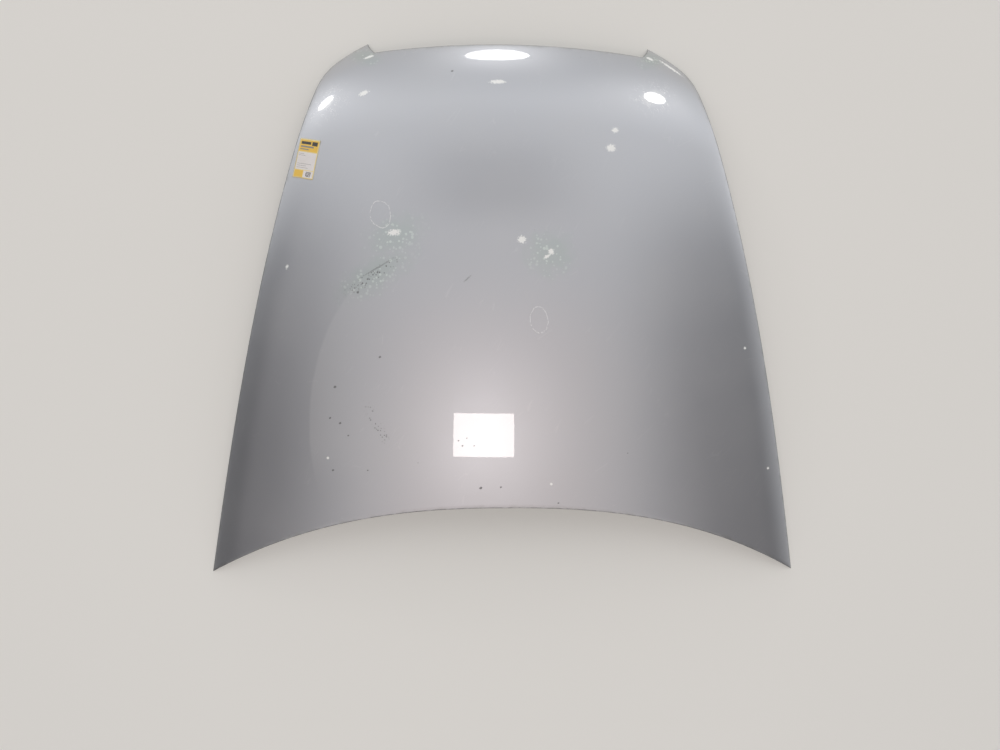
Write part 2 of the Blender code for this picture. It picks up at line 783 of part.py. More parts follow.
def stay_bush(plastic, frame):
    """The bush that takes the stay rod's end."""
    face = -FRAME_THICKNESS - GAP
    low = face - STAY_FLANGE_HEIGHT
    wall = STAY_HOLE - GAP
    barb_edge = wall + STAY_CHAMFER
    flange = STAY_HOLE + STAY_FLANGE
    profile = [(barb_edge, STAY_BARB), (barb_edge, BARB_CLEARANCE), (wall, BARB_CLEARANCE), (wall, face),
               (flange, face), (flange - STAY_CHAMFER, low), (STAY_BORE + STAY_CHAMFER, low),
               (STAY_BORE, low + STAY_CHAMFER), (STAY_BORE, STAY_BARB)]
    turned("stay_bush", plastic, profile, frame, ring=True)
    return hole_tool("stay_bush_hole", STAY_HOLE, -FRAME_THICKNESS, 0, frame)


def felt_area():
    """Corners of the felt pad, which covers the two centre openings and the ribs' inboard halves."""
    found = openings()
    rear, front = found["rear_centre"], found["front_centre"]
    low = rear[0][1] - FELT_END_OVERLAP
    high = front[2][1] + FELT_END_OVERLAP
    return [(rear[0][0] - FELT_OVERLAP, low), (rear[1][0] + FELT_OVERLAP, low),
            (front[2][0] + FELT_OVERLAP, high), (front[3][0] - FELT_OVERLAP, high)]


def insulation_pad(felt):
    top = RIB_DEPTH + FRAME_THICKNESS + FELT_CLEARANCE
    corners = felt_area()
    edge = rounded(corners, FELT_RADIUS, 0.0, 4, FELT_PITCH)
    loose = []
    left = min(c[0] for c in corners)
    low, high = corners[0][1], corners[2][1]
    columns = round(-2 * left / FELT_PITCH)
    rows = round((high - low) / FELT_PITCH)
    border = rounded(corners, FELT_RADIUS, -FELT_BORDER)
    for i in range(1, columns):
        for j in range(1, rows):
            p = Vector((left - 2 * left * i / columns, low + (high - low) * j / rows))
            if inside(p, border):
                loose.append((p, under(p.x, p.y, top)))
    return sheet("insulation_pad", felt, FELT_THICKNESS, [at_depth(edge, top)], loose=loose)


def clip_places():
    """Push clips on the long ribs' centre lines, through the felt pad."""
    found = openings()
    rear, front = found["rear_centre"], found["front_centre"]
    low, high = rear[0][1], front[2][1]
    cross = (rear[2][1] + front[0][1]) / 2
    places = []
    for y in (low + CLIP_FROM_END, cross - CLIP_FROM_RIB, cross + CLIP_FROM_RIB, high - CLIP_FROM_END):
        x = rear[1][0] + (y - low) / (high - low) * (front[2][0] - rear[1][0]) + RIB_WIDTH / 2
        places += [(-x, y), (x, y)]
    return places


def pad_clip(name, plastic, frame):
    """A push clip: a thin round head under the felt and a barbed stem up through the rib."""
    face = -FRAME_THICKNESS - FELT_CLEARANCE - FELT_THICKNESS - CLIP_CLEARANCE
    profile = barb(CLIP_STEM, CLIP_BARB)
    profile += [(CLIP_STEM, face), (CLIP_HEAD, face), (CLIP_HEAD, face - CLIP_RIM),
                (CLIP_HEAD / 2, face - CLIP_RIM - CLIP_DOME), (0, face - CLIP_RIM - CLIP_DOME)]
    turned(name, plastic, profile, frame, CLIP_STEPS)
    return hole_tool(name + "_hole", CLIP_HOLE, face, 0, frame)


def mastic(name, material, corners):
    """Dabs of mastic on the middle of each side of one opening's lip, which stop the skin from fluttering."""
    line = inset([Vector(c) for c in corners], -LIP_WIDTH / 2)
    for k, here in enumerate(line):
        p = (here + line[k - 1]) / 2
        frame = seat(p.x, p.y, LIP_DEPTH - GAP)
        top = skin_above(frame) - MASTIC_CLEARANCE
        prism(f"{name}_{k + 1}", material, MASTIC_SIDES, MASTIC_RADIUS, 0, top, frame)


def skin_above(frame):
    """Height of the skin's inner face over a dab's rim, at its lowest."""
    lowest = LIP_DEPTH - GAP - SKIN_THICKNESS
    for k in range(MASTIC_SIDES):
        angle = math.tau * k / MASTIC_SIDES
        rim = frame @ Vector((MASTIC_RADIUS * math.cos(angle), MASTIC_RADIUS * math.sin(angle), 0))
        lowest = min(lowest, (frame.inverted() @ under(rim.x, rim.y, SKIN_THICKNESS)).z)
    return lowest


def seal_line():
    """Plan points along the seal, from left to right."""
    stations = [SEAL_HALF_LENGTH * (2 * k / SEAL_STEPS - 1) for k in range(SEAL_STEPS + 1)]
    return [Vector((x, front_edge(x) - SEAL_SETBACK)) for x in stations]


def front_seal(rubber):
    """A bulb seal stuck along the underside of the inner frame, behind the front edge."""
    depth = RIB_DEPTH + FRAME_THICKNESS + SEAL_STANDOFF
    base = -SEAL_FOOT_HEIGHT
    section = [(-SEAL_FOOT, 0), (-SEAL_FOOT, base)]
    for k in range(BULB_STEPS + 1):
        angle = math.pi * k / BULB_STEPS
        section.append((-SEAL_RADIUS * math.cos(angle), base - SEAL_BULB * math.sin(angle)))
    section += [(SEAL_FOOT, base), (SEAL_FOOT, 0)]
    shape = bmesh.new()
    rings = []
    for p in seal_line():
        frame = seat(p.x, p.y, depth)
        rings.append([shape.verts.new(frame @ Vector((0, a, b))) for a, b in section])
    for first, second in zip(rings, rings[1:]):
        for i in range(len(section)):
            j = (i + 1) % len(section)
            shape.faces.new((first[i], second[i], second[j], first[j]))
    shape.faces.new(rings[0])
    shape.faces.new(list(reversed(rings[-1])))
    bmesh.ops.recalc_face_normals(shape, faces=shape.faces)
    return add("front_seal", to_mesh("front_seal", shape), rubber)


def paper_label(paper):
    turn = Matrix.Rotation(math.radians(LABEL_TURN), 2)
    columns, rows = LABEL_GRID
    lift = -(GAP + LABEL_THICKNESS)
    shape = bmesh.new()
    grid = []
    for j in range(rows + 1):
        row = []
        for i in range(columns + 1):
            local = Vector((LABEL_WIDTH * (i / columns - 0.5), LABEL_LENGTH * (j / rows - 0.5)))
            p = Vector((LABEL_X, LABEL_Y)) + turn @ local
            row.append(shape.verts.new(under(p.x, p.y, lift)))
        grid.append(row)
    for low, high in zip(grid, grid[1:]):
        for i in range(columns):
            shape.faces.new((low[i], low[i + 1], high[i + 1], high[i]))
    return thicken(add("paper_label", to_mesh("paper_label", shape), paper), LABEL_THICKNESS)


def rest_on_rim():
    """Level the rim's rear corners with its horns, then put the box's bottom middle at the origin."""
    skin = bpy.data.objects["outer_skin"]
    corner = under(REAR_HALF_WIDTH, -REAR_SWEEP, 0)
    horn = under(HORN_HALF_WIDTH, FRONT_Y + HORN_REACH, 0)
    lean = math.atan2(horn.z - corner.z, horn.y - corner.y)
    tilt = Matrix.Rotation(-lean, 4, "X")
    bpy.context.view_layer.update()
    shape = skin.evaluated_get(bpy.context.evaluated_depsgraph_get()).to_mesh()
    points = [tilt @ v.co for v in shape.vertices]
    low = Vector([min(p[k] for p in points) for k in range(3)])
    high = Vector([max(p[k] for p in points) for k in range(3)])
    DATUM.matrix_world = Matrix.Translation((-(low.x + high.x) / 2, -(low.y + high.y) / 2, -low.z)) @ tilt


def main():
    global PARTS, CUTTERS, DATUM
    for old in list(bpy.data.objects):
        bpy.data.objects.remove(old, do_unlink=True)
    PARTS = bpy.data.collections.new("car_bonnet")
    CUTTERS = bpy.data.collections.new("cutters")
    for collection in (PARTS, CUTTERS):
        bpy.context.scene.collection.children.link(collection)
    DATUM = bpy.data.objects.new("bonnet_datum", None)
    PARTS.objects.link(DATUM)

    silver = paint("silver_paint", (0.50, 0.51, 0.54), 0.30, 0.7)
    primer = paint("coated_steel", (0.42, 0.43, 0.46), 0.45, 0.3)
    steel = paint("bare_steel", (0.35, 0.35, 0.34), 0.45, 0.9)
    bright = paint("zinc_plated_steel", (0.62, 0.61, 0.56), 0.35, 1.0)
    rubber = paint("black_rubber", (0.02, 0.02, 0.02), 0.75)
    plastic = paint("black_plastic", (0.03, 0.03, 0.03), 0.5)
    felt = paint("black_felt", (0.035, 0.035, 0.037), 0.95)
    bead = paint("mastic", (0.28, 0.26, 0.22), 0.8)
    paper = paint("paper", (0.85, 0.80, 0.55), 0.6)

    seat_depth = RIB_DEPTH + PAD_STEP
    latch_y = FRONT_Y - LATCH_SETBACK
    latch_seat = seat(0, latch_y, seat_depth)
    seats = [(latch_seat, 0, latch_y, *LATCH_PAD)]
    hinges = {}
    for side, sign in (("left", -1), ("right", 1)):
        x = sign * from_edge(HINGE_SETBACK, HINGE_INSET)
        hinges[side] = seat(x, HINGE_SETBACK, seat_depth)
        seats.append((hinges[side], x, HINGE_SETBACK, *HINGE_PAD))

    stops = {}
    for name, sign, inset_by, setback in (("rubber_buffer_left", -1, BUFFER_INSET, BUFFER_SETBACK),
                                          ("rubber_buffer_right", 1, BUFFER_INSET, BUFFER_SETBACK),
                                          ("stay_bush", -1, STAY_INSET, STAY_SETBACK)):
        y = FRONT_Y - setback
        x = sign * from_edge(y, inset_by)
        stops[name] = seat(x, y, seat_depth)
        seats.append((stops[name], x, y, ROUND_SEAT, ROUND_SEAT))

    outer_skin(silver)
    frame_body = inner_frame(primer, seats)
    tools = latch(latch_seat, steel, bright)
    for side in hinges:
        tools += hinge_seat(side, hinges[side], steel)
    for name in ("rubber_buffer_left", "rubber_buffer_right"):
        tools.append(buffer(name, rubber, stops[name]))
    tools.append(stay_bush(plastic, stops["stay_bush"]))
    pad = insulation_pad(felt)
    for k, (x, y) in enumerate(clip_places(), 1):
        hole = pad_clip(f"pad_clip_{k}", plastic, seat(x, y, RIB_DEPTH))
        cut(pad, hole)
        tools.append(hole)
    for hole in tools:
        cut(frame_body, hole)
    for name, corners in openings().items():
        mastic("mastic_" + name, bead, corners)
    front_seal(rubber)
    paper_label(paper)
    rest_on_rim()


main()
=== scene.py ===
"""Car bonnet: the looks of its painted skin, inner frame, felt, rubber and fittings, on a pale studio floor.

Metres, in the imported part's frame: +Z up through the painted skin, +Y towards the nose.
A plan place is (x, y) measured from the middle of the rear edge, before the bonnet is laid on its rim.
"""
import math

import bmesh
import bpy
import numpy as np
from bpy.props import FloatProperty, FloatVectorProperty, IntProperty, PointerProperty
from mathutils import Matrix, Vector
from mathutils.geometry import delaunay_2d_cdt, interpolate_bezier


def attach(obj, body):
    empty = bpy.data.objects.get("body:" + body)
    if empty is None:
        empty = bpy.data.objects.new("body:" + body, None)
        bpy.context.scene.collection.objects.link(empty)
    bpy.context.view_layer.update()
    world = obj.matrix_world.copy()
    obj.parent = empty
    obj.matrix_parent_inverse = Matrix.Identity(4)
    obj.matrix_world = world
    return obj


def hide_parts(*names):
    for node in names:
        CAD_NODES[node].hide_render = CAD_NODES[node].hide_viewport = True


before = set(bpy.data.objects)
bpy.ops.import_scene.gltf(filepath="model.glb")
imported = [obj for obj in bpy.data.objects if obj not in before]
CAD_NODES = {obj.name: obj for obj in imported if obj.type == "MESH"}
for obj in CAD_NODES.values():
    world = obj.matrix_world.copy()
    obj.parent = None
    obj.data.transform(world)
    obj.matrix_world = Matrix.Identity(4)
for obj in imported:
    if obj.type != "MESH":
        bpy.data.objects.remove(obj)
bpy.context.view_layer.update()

bl_info = {
    "name": "Car Bonnet",
    "version": (1, 0, 0),
    "blender": (4, 5, 0),
    "location": "3D View > Sidebar > Bonnet",
    "description": "Builds a steel car bonnet's painted skin, inner frame and fittings",
    "category": "Add Mesh",
}

BODY = "root"
SIDES = (("left", -1), ("right", 1))

# Outline of the skin, in plan
FRONT_Y = 1.096
FRONT_EDGE_RADIUS = 3.6
REAR_HALF_WIDTH = 0.732
REAR_SWEEP = 0.184
REAR_SWEEP_POWER = 2.35
SHOULDER_HALF_WIDTH = 0.478
SHOULDER_SETBACK = 0.170
HORN_HALF_WIDTH = 0.343
HORN_REACH = 0.020
HORN_STEP = 0.021
HORN_STEP_BOW = (0.0021, -0.0010)
SIDE_TAPER_REAR = 0.205
SIDE_TAPER_SHOULDER = 0.31
HEADLAMP_SLOPE = 0.66
SHOULDER_HANDLE = 0.098
HORN_HANDLE = 0.110

# Height of the skin
ARCH_RADIUS = 4.6
ARCH_SETBACK = 0.576
CROWN_RADIUS = 2.7
NOSE_RUN = 0.200
NOSE_DROP = 0.045
NOSE_POWER = 2.3
NOSE_PLAN_RADIUS = 1.9
EDGE_DROP = 0.007
EDGE_RUN = 0.070
EDGE_POWER = 2.5

# Sheets, hem and pressed depths
SKIN_THICKNESS = 0.0008
FRAME_THICKNESS = 0.0007
HEM_WIDTH = 0.010
HEM_GAP = 0.0005
HEM_STACK = 2 * SKIN_THICKNESS + FRAME_THICKNESS + 2 * HEM_GAP
FOLD = HEM_STACK / 2
FLANGE_DEPTH = SKIN_THICKNESS + HEM_GAP
GAP = 0.0003
RIB_DEPTH = 0.020
LIP_DEPTH = 0.0042
LIP_WIDTH = 0.012
WALL_RUN = 0.012
RIM_WALL_TOP = 0.013
RIM_WALL_FOOT = 0.030
OPENING_RADIUS = 0.042
SIDE_FRAME_WIDTH = 0.100
REAR_FRAME_WIDTH = 0.120
FRONT_FRAME_WIDTH = 0.230
LONG_RIB_X_REAR = 0.205
LONG_RIB_X_FRONT = 0.165
CROSS_RIB_SETBACK = 0.575
RIB_WIDTH = 0.094
PAD_STEP = 0.005
PAD_WALL = 0.007
SEAT_RADIUS = 0.008
ROUND_SEAT = 0.018
SEAT_DEPTH = RIB_DEPTH + PAD_STEP

# Latch and hinge seats
LATCH_SETBACK = 0.110
LATCH_PAD = (0.058, 0.027)
LATCH_PLATE_Y = 0.019
LATCH_PLATE_THICKNESS = 0.0025
LATCH_BOLT_SPACING = 0.072
STRIKER_WIRE = 0.008
STRIKER_WIDTH = 0.036
STRIKER_DROP = 0.044
HOOK_WIDTH = 0.018
HOOK_THICKNESS = 0.003
HOOK_DROP = 0.056
HOOK_TIP = 0.016
HOOK_FOOT = 0.016
HOOK_INSET = 0.002
HOOK_BEND = 0.004
HINGE_INSET = 0.188
HINGE_SETBACK = 0.035
HINGE_PAD = (0.026, 0.050)
HINGE_BOLT_SPACING = 0.054
BOLT = 0.008
BOLT_HOLE = 0.0045
BOLT_HEAD = 0.013
BOLT_HEAD_HEIGHT = 0.0053
BOLT_FLANGE = 0.0175
BOLT_FLANGE_HEIGHT = 0.0014
BOLT_END = 0.0083

# Rubber, plastic and felt
BUFFER_INSET = 0.1155
BUFFER_SETBACK = 0.112
BUFFER_RADIUS = 0.014
BUFFER_HEIGHT = 0.022
BUFFER_WAIST = 0.0108
BUFFER_TIP = 0.0072
BUFFER_FLANGE = 0.004
BUFFER_HOLE = 0.0050
BUFFER_BARB = 0.010
STAY_INSET = 0.0715
STAY_SETBACK = 0.165
STAY_HOLE = 0.0125
STAY_BORE = 0.0078
STAY_FLANGE = 0.004
STAY_FLANGE_HEIGHT = 0.0025
STAY_BARB = 0.0035
CLIP_HEAD = 0.0115
CLIP_STEM = 0.0034
CLIP_HOLE = 0.0040
CLIP_CLEARANCE = 0.0006
CLIP_BARB = 0.006
CLIP_DOME = 0.0022
CLIP_FROM_END = 0.055
CLIP_FROM_RIB = 0.165
BARB_REACH = 0.0014
BARB_CLEARANCE = 0.0008
FELT_THICKNESS = 0.008
FELT_CLEARANCE = 0.0010
FELT_OVERLAP = 0.070
FELT_END_OVERLAP = 0.042
FELT_RADIUS = 0.045
SEAL_HALF_LENGTH = 0.285
SEAL_SETBACK = 0.054
SEAL_STANDOFF = 0.0012
SEAL_FOOT = 0.009
SEAL_FOOT_HEIGHT = 0.0022
SEAL_RADIUS = 0.0055
SEAL_BULB = 0.0083

# Paper label
LABEL_SIZE = (0.050, 0.093)
LABEL_PLACE = (-0.4727, 0.8136)
LABEL_TURN = math.radians(-11.5)
LABEL_THICKNESS = 0.0002


# The skin's surface, for single places and for arrays of them

def side_curve(rear_steps, lamp_steps):
    """The right edge from the rear corner past the shoulder, then along the headlamp to the horn's tip."""
    rear = Vector((REAR_HALF_WIDTH, -REAR_SWEEP))
    shoulder = Vector((SHOULDER_HALF_WIDTH, FRONT_Y - SHOULDER_SETBACK))
    horn = Vector((HORN_HALF_WIDTH, FRONT_Y + HORN_REACH))
    third = (shoulder.y - rear.y) / 3
    run = interpolate_bezier(rear, rear + third * Vector((-SIDE_TAPER_REAR, 1)),
                             shoulder - third * Vector((-SIDE_TAPER_SHOULDER, 1)), shoulder, rear_steps + 1)
    lamp = interpolate_bezier(shoulder, shoulder + SHOULDER_HANDLE * Vector((-SIDE_TAPER_SHOULDER, 1)),
                              horn + HORN_HANDLE * Vector((1, -HEADLAMP_SLOPE)), horn, lamp_steps + 1)
    return np.array([p[:2] for p in run + lamp[1:]])


SIDE = side_curve(400, 200)
SIDE_STEP = np.diff(SIDE, axis=0)
SIDE_SLANT = SIDE_STEP[:, 1] / np.hypot(SIDE_STEP[:, 0], SIDE_STEP[:, 1])
SIDE_MIDDLE = (SIDE[1:, 1] + SIDE[:-1, 1]) / 2


def from_side(x, y):
    half = np.interp(y, SIDE[:, 1], SIDE[:, 0])
    return (half - np.abs(x)) * np.interp(y, SIDE_MIDDLE, SIDE_SLANT)


def from_edge(y, inset):
    """The plan X this far inside the right edge."""
    return float(np.interp(y, SIDE[:, 1], SIDE[:, 0])) - inset


def rear_edge(x):
    return -REAR_SWEEP * (np.abs(x) / REAR_HALF_WIDTH) ** REAR_SWEEP_POWER


def front_edge(x):
    return FRONT_Y - x * x / (2 * FRONT_EDGE_RADIUS)


def height(x, y):
    arch = (y - FRONT_Y + ARCH_SETBACK) ** 2 / (2 * ARCH_RADIUS)
    crown = x * x / (2 * CROWN_RADIUS)
    into_nose = (y - FRONT_Y + NOSE_RUN + x * x / (2 * NOSE_PLAN_RADIUS)) / NOSE_RUN
    nose = NOSE_DROP * np.maximum(0.0, into_nose) ** NOSE_POWER
    edge = EDGE_DROP * np.maximum(0.0, 1 - from_side(x, y) / EDGE_RUN) ** EDGE_POWER
    return -arch - crown - nose - edge


def normals(x, y, step=0.0005):
    slope_x = (height(x + step, y) - height(x - step, y)) / (2 * step)
    slope_y = (height(x, y + step) - height(x, y - step)) / (2 * step)
    out = np.stack((-slope_x, -slope_y, np.ones_like(slope_x)), axis=-1)
    return out / np.linalg.norm(out, axis=-1, keepdims=True)


def raised(plan, depth):
    """Places this deep under the skin's outer face, square to it; the depth may be an array."""
    plan = np.asarray(plan, float)
    x, y = plan[..., 0], plan[..., 1]
    depth = np.asarray(depth, float)[..., None] * np.ones(x.shape + (1,))
    return np.stack((x, y, height(x, y)), axis=-1) - depth * normals(x, y)


def laid_on_rim():
    """The matrix that lays the bonnet on its rim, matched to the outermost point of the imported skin."""
    corner = raised((REAR_HALF_WIDTH, -REAR_SWEEP), 0)
    horn = raised((HORN_HALF_WIDTH, FRONT_Y + HORN_REACH), 0)
    tilt = Matrix.Rotation(-math.atan2(horn[2] - corner[2], horn[1] - corner[1]), 4, "X")
    outermost = max((v.co for v in CAD_NODES["outer_skin"].data.vertices), key=lambda co: co.x)
    rim = tilt @ Vector(raised((REAR_HALF_WIDTH, -REAR_SWEEP), FOLD))
    return Matrix.Translation(outermost - rim) @ tilt


LAID = laid_on_rim()
LAID_ARRAY = np.array(LAID)


def laid(points):
    return np.asarray(points) @ LAID_ARRAY[:3, :3].T + LAID_ARRAY[:3, 3]


def facing(out, place, across=None):
    """A matrix at a place with Z along a direction, and with X level unless it is given."""
    across = across or (Vector((1, 0, 0)) - out.x * out).normalized()
    matrix = Matrix((across, out.cross(across), out)).transposed().to_4x4()
    matrix.translation = Vector(place)
    return matrix


def seat(x, y, depth):
    """A frame on the flat seat at this depth: X across, Z out through the skin."""
    return facing(Vector(normals(x, y)), raised((x, y), depth))


# Plan curves and closed loops

def arc_shares(line):
    lengths = np.linalg.norm(np.diff(line, axis=0), axis=1)
    return np.concatenate(([0], np.cumsum(lengths))) / lengths.sum()


def resampled(line, shares):
    at = arc_shares(line)
    return np.stack([np.interp(shares, at, line[:, k]) for k in range(line.shape[1])], axis=-1)


def moved_in(line, distance, spare=0.035):
    """An open run of plan points moved to its left, with its ends drawn out straight."""
    ahead = np.gradient(line, axis=0)
    ahead /= np.linalg.norm(ahead, axis=1, keepdims=True)
    moved = line + distance * np.stack((-ahead[:, 1], ahead[:, 0]), axis=-1)
    return np.vstack((moved[0] - spare * ahead[0], moved, moved[-1] + spare * ahead[-1]))


def crossing(first, second, corner):
    """Where two runs cross, nearest to their old corner: the place and the share of each run before it."""
    a, b = first[:-1, None], np.diff(first, axis=0)[:, None]
    c, d = second[None, :-1], np.diff(second, axis=0)[None]
    cross = b[..., 0] * d[..., 1] - b[..., 1] * d[..., 0]
    cross = np.where(np.abs(cross) < 1e-14, 1e-14, cross)
    gap = c - a
    s = (gap[..., 0] * d[..., 1] - gap[..., 1] * d[..., 0]) / cross
    t = (gap[..., 0] * b[..., 1] - gap[..., 1] * b[..., 0]) / cross
    hits = np.argwhere((s >= 0) & (s <= 1) & (t >= 0) & (t <= 1))
    if not len(hits):
        raise RuntimeError("two sides of the outline don't meet")
    places = [first[i] + s[i, j] * (first[i + 1] - first[i]) for i, j in hits]
    nearest = int(np.argmin([np.linalg.norm(p - corner) for p in places]))
    return places[nearest], hits[nearest]


def moved_ring(sides, distance, shares):
    """A closed ring of sides moved inwards and trimmed at their crossings; one list of shares a side."""
    lines = [moved_in(side, distance) for side in sides]
    count = len(sides)
    corners = [crossing(lines[k], lines[(k + 1) % count], sides[k][-1]) for k in range(count)]
    ring = []
    for k, line in enumerate(lines):
        start, (_, first) = corners[k - 1]
        end, (last, _) = corners[k]
        run = np.vstack((start, line[first + 1:last + 1], end))
        ring.append(resampled(run, shares[k]))
    return ring


def eased_shares(count, pull):
    """Shares from 0 to 1 that lie closer together near both ends."""
    t = np.linspace(0, 1, count + 1)
    return t - pull * np.sin(2 * np.pi * t) / (2 * np.pi)


def outline_sides(with_horn_steps):
    """The rim's sides, counterclockwise from the rear left; without steps the front runs past the horns."""
    x = np.linspace(-REAR_HALF_WIDTH, REAR_HALF_WIDTH, 401)
    rear = np.stack((x, rear_edge(x)), axis=-1)
    left = SIDE[::-1] * (-1, 1)
    tip = SIDE[-1]
    foot = HORN_HALF_WIDTH - HORN_STEP if with_horn_steps else HORN_HALF_WIDTH + HORN_STEP
    x = np.linspace(foot, -foot, 301)
    front = np.stack((x, front_edge(x)), axis=-1)
    if not with_horn_steps:
        return [rear, SIDE, front, left]
    base = front[0]
    bow = (tip + base) / 2 + 2 * np.array(HORN_STEP_BOW)
    t = np.linspace(0, 1, 21)[:, None]
    step = (1 - t) ** 2 * tip + 2 * t * (1 - t) * bow + t ** 2 * base
    return [rear, SIDE, step, front, step[::-1] * (-1, 1), left]


def closed_ring(ring):
    return np.vstack([side[:-1] for side in ring])


def inset_loop(corners, distance):
    """A polygon's corners moved inwards, mitred."""
    moved = []
    for i, here in enumerate(corners):
        before = (here - corners[i - 1]).normalized()
        after = (corners[(i + 1) % len(corners)] - here).normalized()
        first = Vector((-before.y, before.x))
        second = Vector((-after.y, after.x))
        moved.append(here + distance * (first + second) / (1 + first.dot(second)))
    return moved


def rounded(corners, radius, outset=0.0, corner_steps=10, pitch=0.012):
    """A counterclockwise polygon with round corners, moved outwards by the outset, as an array."""
    corners = inset_loop([Vector(c) for c in corners], -outset)
    radius += outset
    loop = []
    for i, corner in enumerate(corners):
        before = (corners[i - 1] - corner).normalized()
        after = (corners[(i + 1) % len(corners)] - corner).normalized()
        half = math.acos(before.dot(after)) / 2
        centre = corner + (before + after).normalized() * radius / math.sin(half)
        start = corner + before * radius / math.tan(half) - centre
        for k in range(corner_steps + 1):
            loop.append(centre + Matrix.Rotation((math.pi - 2 * half) * k / corner_steps, 2) @ start)
    filled = []
    for i, here in enumerate(loop):
        ahead = loop[(i + 1) % len(loop)]
        parts = max(1, round((ahead - here).length / pitch))
        filled += [here.lerp(ahead, k / parts) for k in range(parts)]
    return np.array(filled)


def box_corners(x, y, half_x, half_y):
    corners = ((-1, -1), (1, -1), (1, 1), (-1, 1))
    return [(x + across * half_x, y + along * half_y) for across, along in corners]


def square_grid(low, high, pitch):
    """Plan places in rows between two corners."""
    columns, rows = (np.arange(start, end, pitch) for start, end in zip(low, high))
    return np.stack(np.meshgrid(columns, rows), axis=-1).reshape(-1, 2)


def circle(x, y, radius, count):
    turn = np.linspace(0, 2 * np.pi, count, endpoint=False)
    return np.stack((x + radius * np.cos(turn), y + radius * np.sin(turn)), axis=-1)


def inside(points, loop):
    """Which of the points lie inside a closed loop."""
    points = np.asarray(points, float)
    x, y = points[:, 0], points[:, 1]
    found = np.zeros(len(points), bool)
    for a, b in zip(loop, np.roll(loop, 1, axis=0)):
        spans = (a[1] > y) != (b[1] > y)
        rise = b[1] - a[1] or 1e-12
        found ^= spans & (x < (b[0] - a[0]) * (y - a[1]) / rise + a[0])
    return found


def ease(t):
    t = np.clip(t, 0, 1)
    return t * t * (3 - 2 * t)


def rise(value, start, run):
    """From 0 to 1, eased over a run that begins at the start."""
    return ease((value - start) / run)


# Where the pressing's openings, seats and holes lie

def openings():
    """The inner frame's six openings, each as the corners of its lip's edge, counterclockwise."""
    rear_y = REAR_FRAME_WIDTH
    front_y = FRONT_Y - FRONT_FRAME_WIDTH
    cross_y = FRONT_Y - CROSS_RIB_SETBACK
    half = RIB_WIDTH / 2

    def rib(y):
        share = (y - rear_y) / (front_y - rear_y)
        return LONG_RIB_X_REAR + share * (LONG_RIB_X_FRONT - LONG_RIB_X_REAR)

    def outboard(y):
        return from_edge(y, SIDE_FRAME_WIDTH / float(np.interp(y, SIDE_MIDDLE, SIDE_SLANT)))

    found = {}
    for name, low, high in (("rear", rear_y, cross_y - half), ("front", cross_y + half, front_y)):
        a, b = rib(low), rib(high)
        side = [(a + half, low), (outboard(low), low), (outboard(high), high), (b + half, high)]
        found[name + "_centre"] = [(half - a, low), (a - half, low), (b - half, high), (half - b, high)]
        found[name + "_right"] = side
        found[name + "_left"] = [(-x, y) for x, y in reversed(side)]
    return found


def seats():
    """The flat seats pressed into the inner frame: plan place, half sizes and frame, by name."""
    latch_y = FRONT_Y - LATCH_SETBACK
    stay_y = FRONT_Y - STAY_SETBACK
    buffer_y = FRONT_Y - BUFFER_SETBACK
    places = {"latch": (0.0, latch_y, *LATCH_PAD)}
    for side, sign in SIDES:
        places["hinge_" + side] = (sign * from_edge(HINGE_SETBACK, HINGE_INSET), HINGE_SETBACK, *HINGE_PAD)
        x = sign * from_edge(buffer_y, BUFFER_INSET)
        places["rubber_buffer_" + side] = (x, buffer_y, ROUND_SEAT, ROUND_SEAT)
    places["stay_bush"] = (-from_edge(stay_y, STAY_INSET), stay_y, ROUND_SEAT, ROUND_SEAT)
    return {name: (*place, seat(place[0], place[1], SEAT_DEPTH)) for name, place in places.items()}


def laid_seat(name):
    return LAID @ seats()[name][-1]


def felt_corners():
    """The felt pad's four plan corners, counterclockwise from the rear left one."""
    found = openings()
    rear, front = found["rear_centre"], found["front_centre"]
    low = rear[0][1] - FELT_END_OVERLAP
    high = front[2][1] + FELT_END_OVERLAP
    return [(rear[0][0] - FELT_OVERLAP, low), (rear[1][0] + FELT_OVERLAP, low),
            (front[2][0] + FELT_OVERLAP, high), (front[3][0] - FELT_OVERLAP, high)]


def clip_places():
    """Plan places of the felt's eight clips, in pairs from the rear."""
    found = openings()
    rear, front = found["rear_centre"], found["front_centre"]
    low, high = rear[0][1], front[2][1]
    cross = (rear[2][1] + front[0][1]) / 2
    places = []
    for y in (low + CLIP_FROM_END, cross - CLIP_FROM_RIB, cross + CLIP_FROM_RIB, high - CLIP_FROM_END):
        x = rear[1][0] + (y - low) / (high - low) * (front[2][0] - rear[1][0]) + RIB_WIDTH / 2
        places += [(-x, y), (x, y)]
    return places


# Making pieces

TURNED_CREASE = 35
CAD_MERGE = 1e-5
SEAM_MERGE = 1e-6
CDT_EPSILON = 1e-7
SLIVER = 2e-9


def in_scene(name, data, matrix=None):
    """A new object in the scene, at the origin or placed by its matrix."""
    body = bpy.data.objects.new(name, data)
    bpy.context.scene.collection.objects.link(body)
    if matrix is not None:
        body.matrix_world = matrix
    return body


def piece(name, mesh, slot, nodes, matrix=None):
    """A finished piece in the scene: it rides on the bonnet, takes its slot and stands for CAD nodes."""
    body = in_scene(name, mesh, matrix)
    if not mesh.materials:
        mesh.materials.append(finish(slot))
    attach(body, BODY)
    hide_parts(*nodes)
    return body


def smoothed(mesh, crease):
    """The mesh shaded smooth but for edges sharper than the crease, in degrees."""
    mesh.shade_smooth()
    mesh.set_sharp_from_angle(angle=math.radians(crease))
    return mesh


def smooth_mesh(name, points, faces, crease):
    mesh = bpy.data.meshes.new(name)
    mesh.from_pydata([tuple(p) for p in points], [], [tuple(map(int, face)) for face in faces])
    return smoothed(mesh, crease)


def smooth_shape(shape, mesh, crease):
    shape.to_mesh(mesh)
    shape.free()
    return smoothed(mesh, crease)


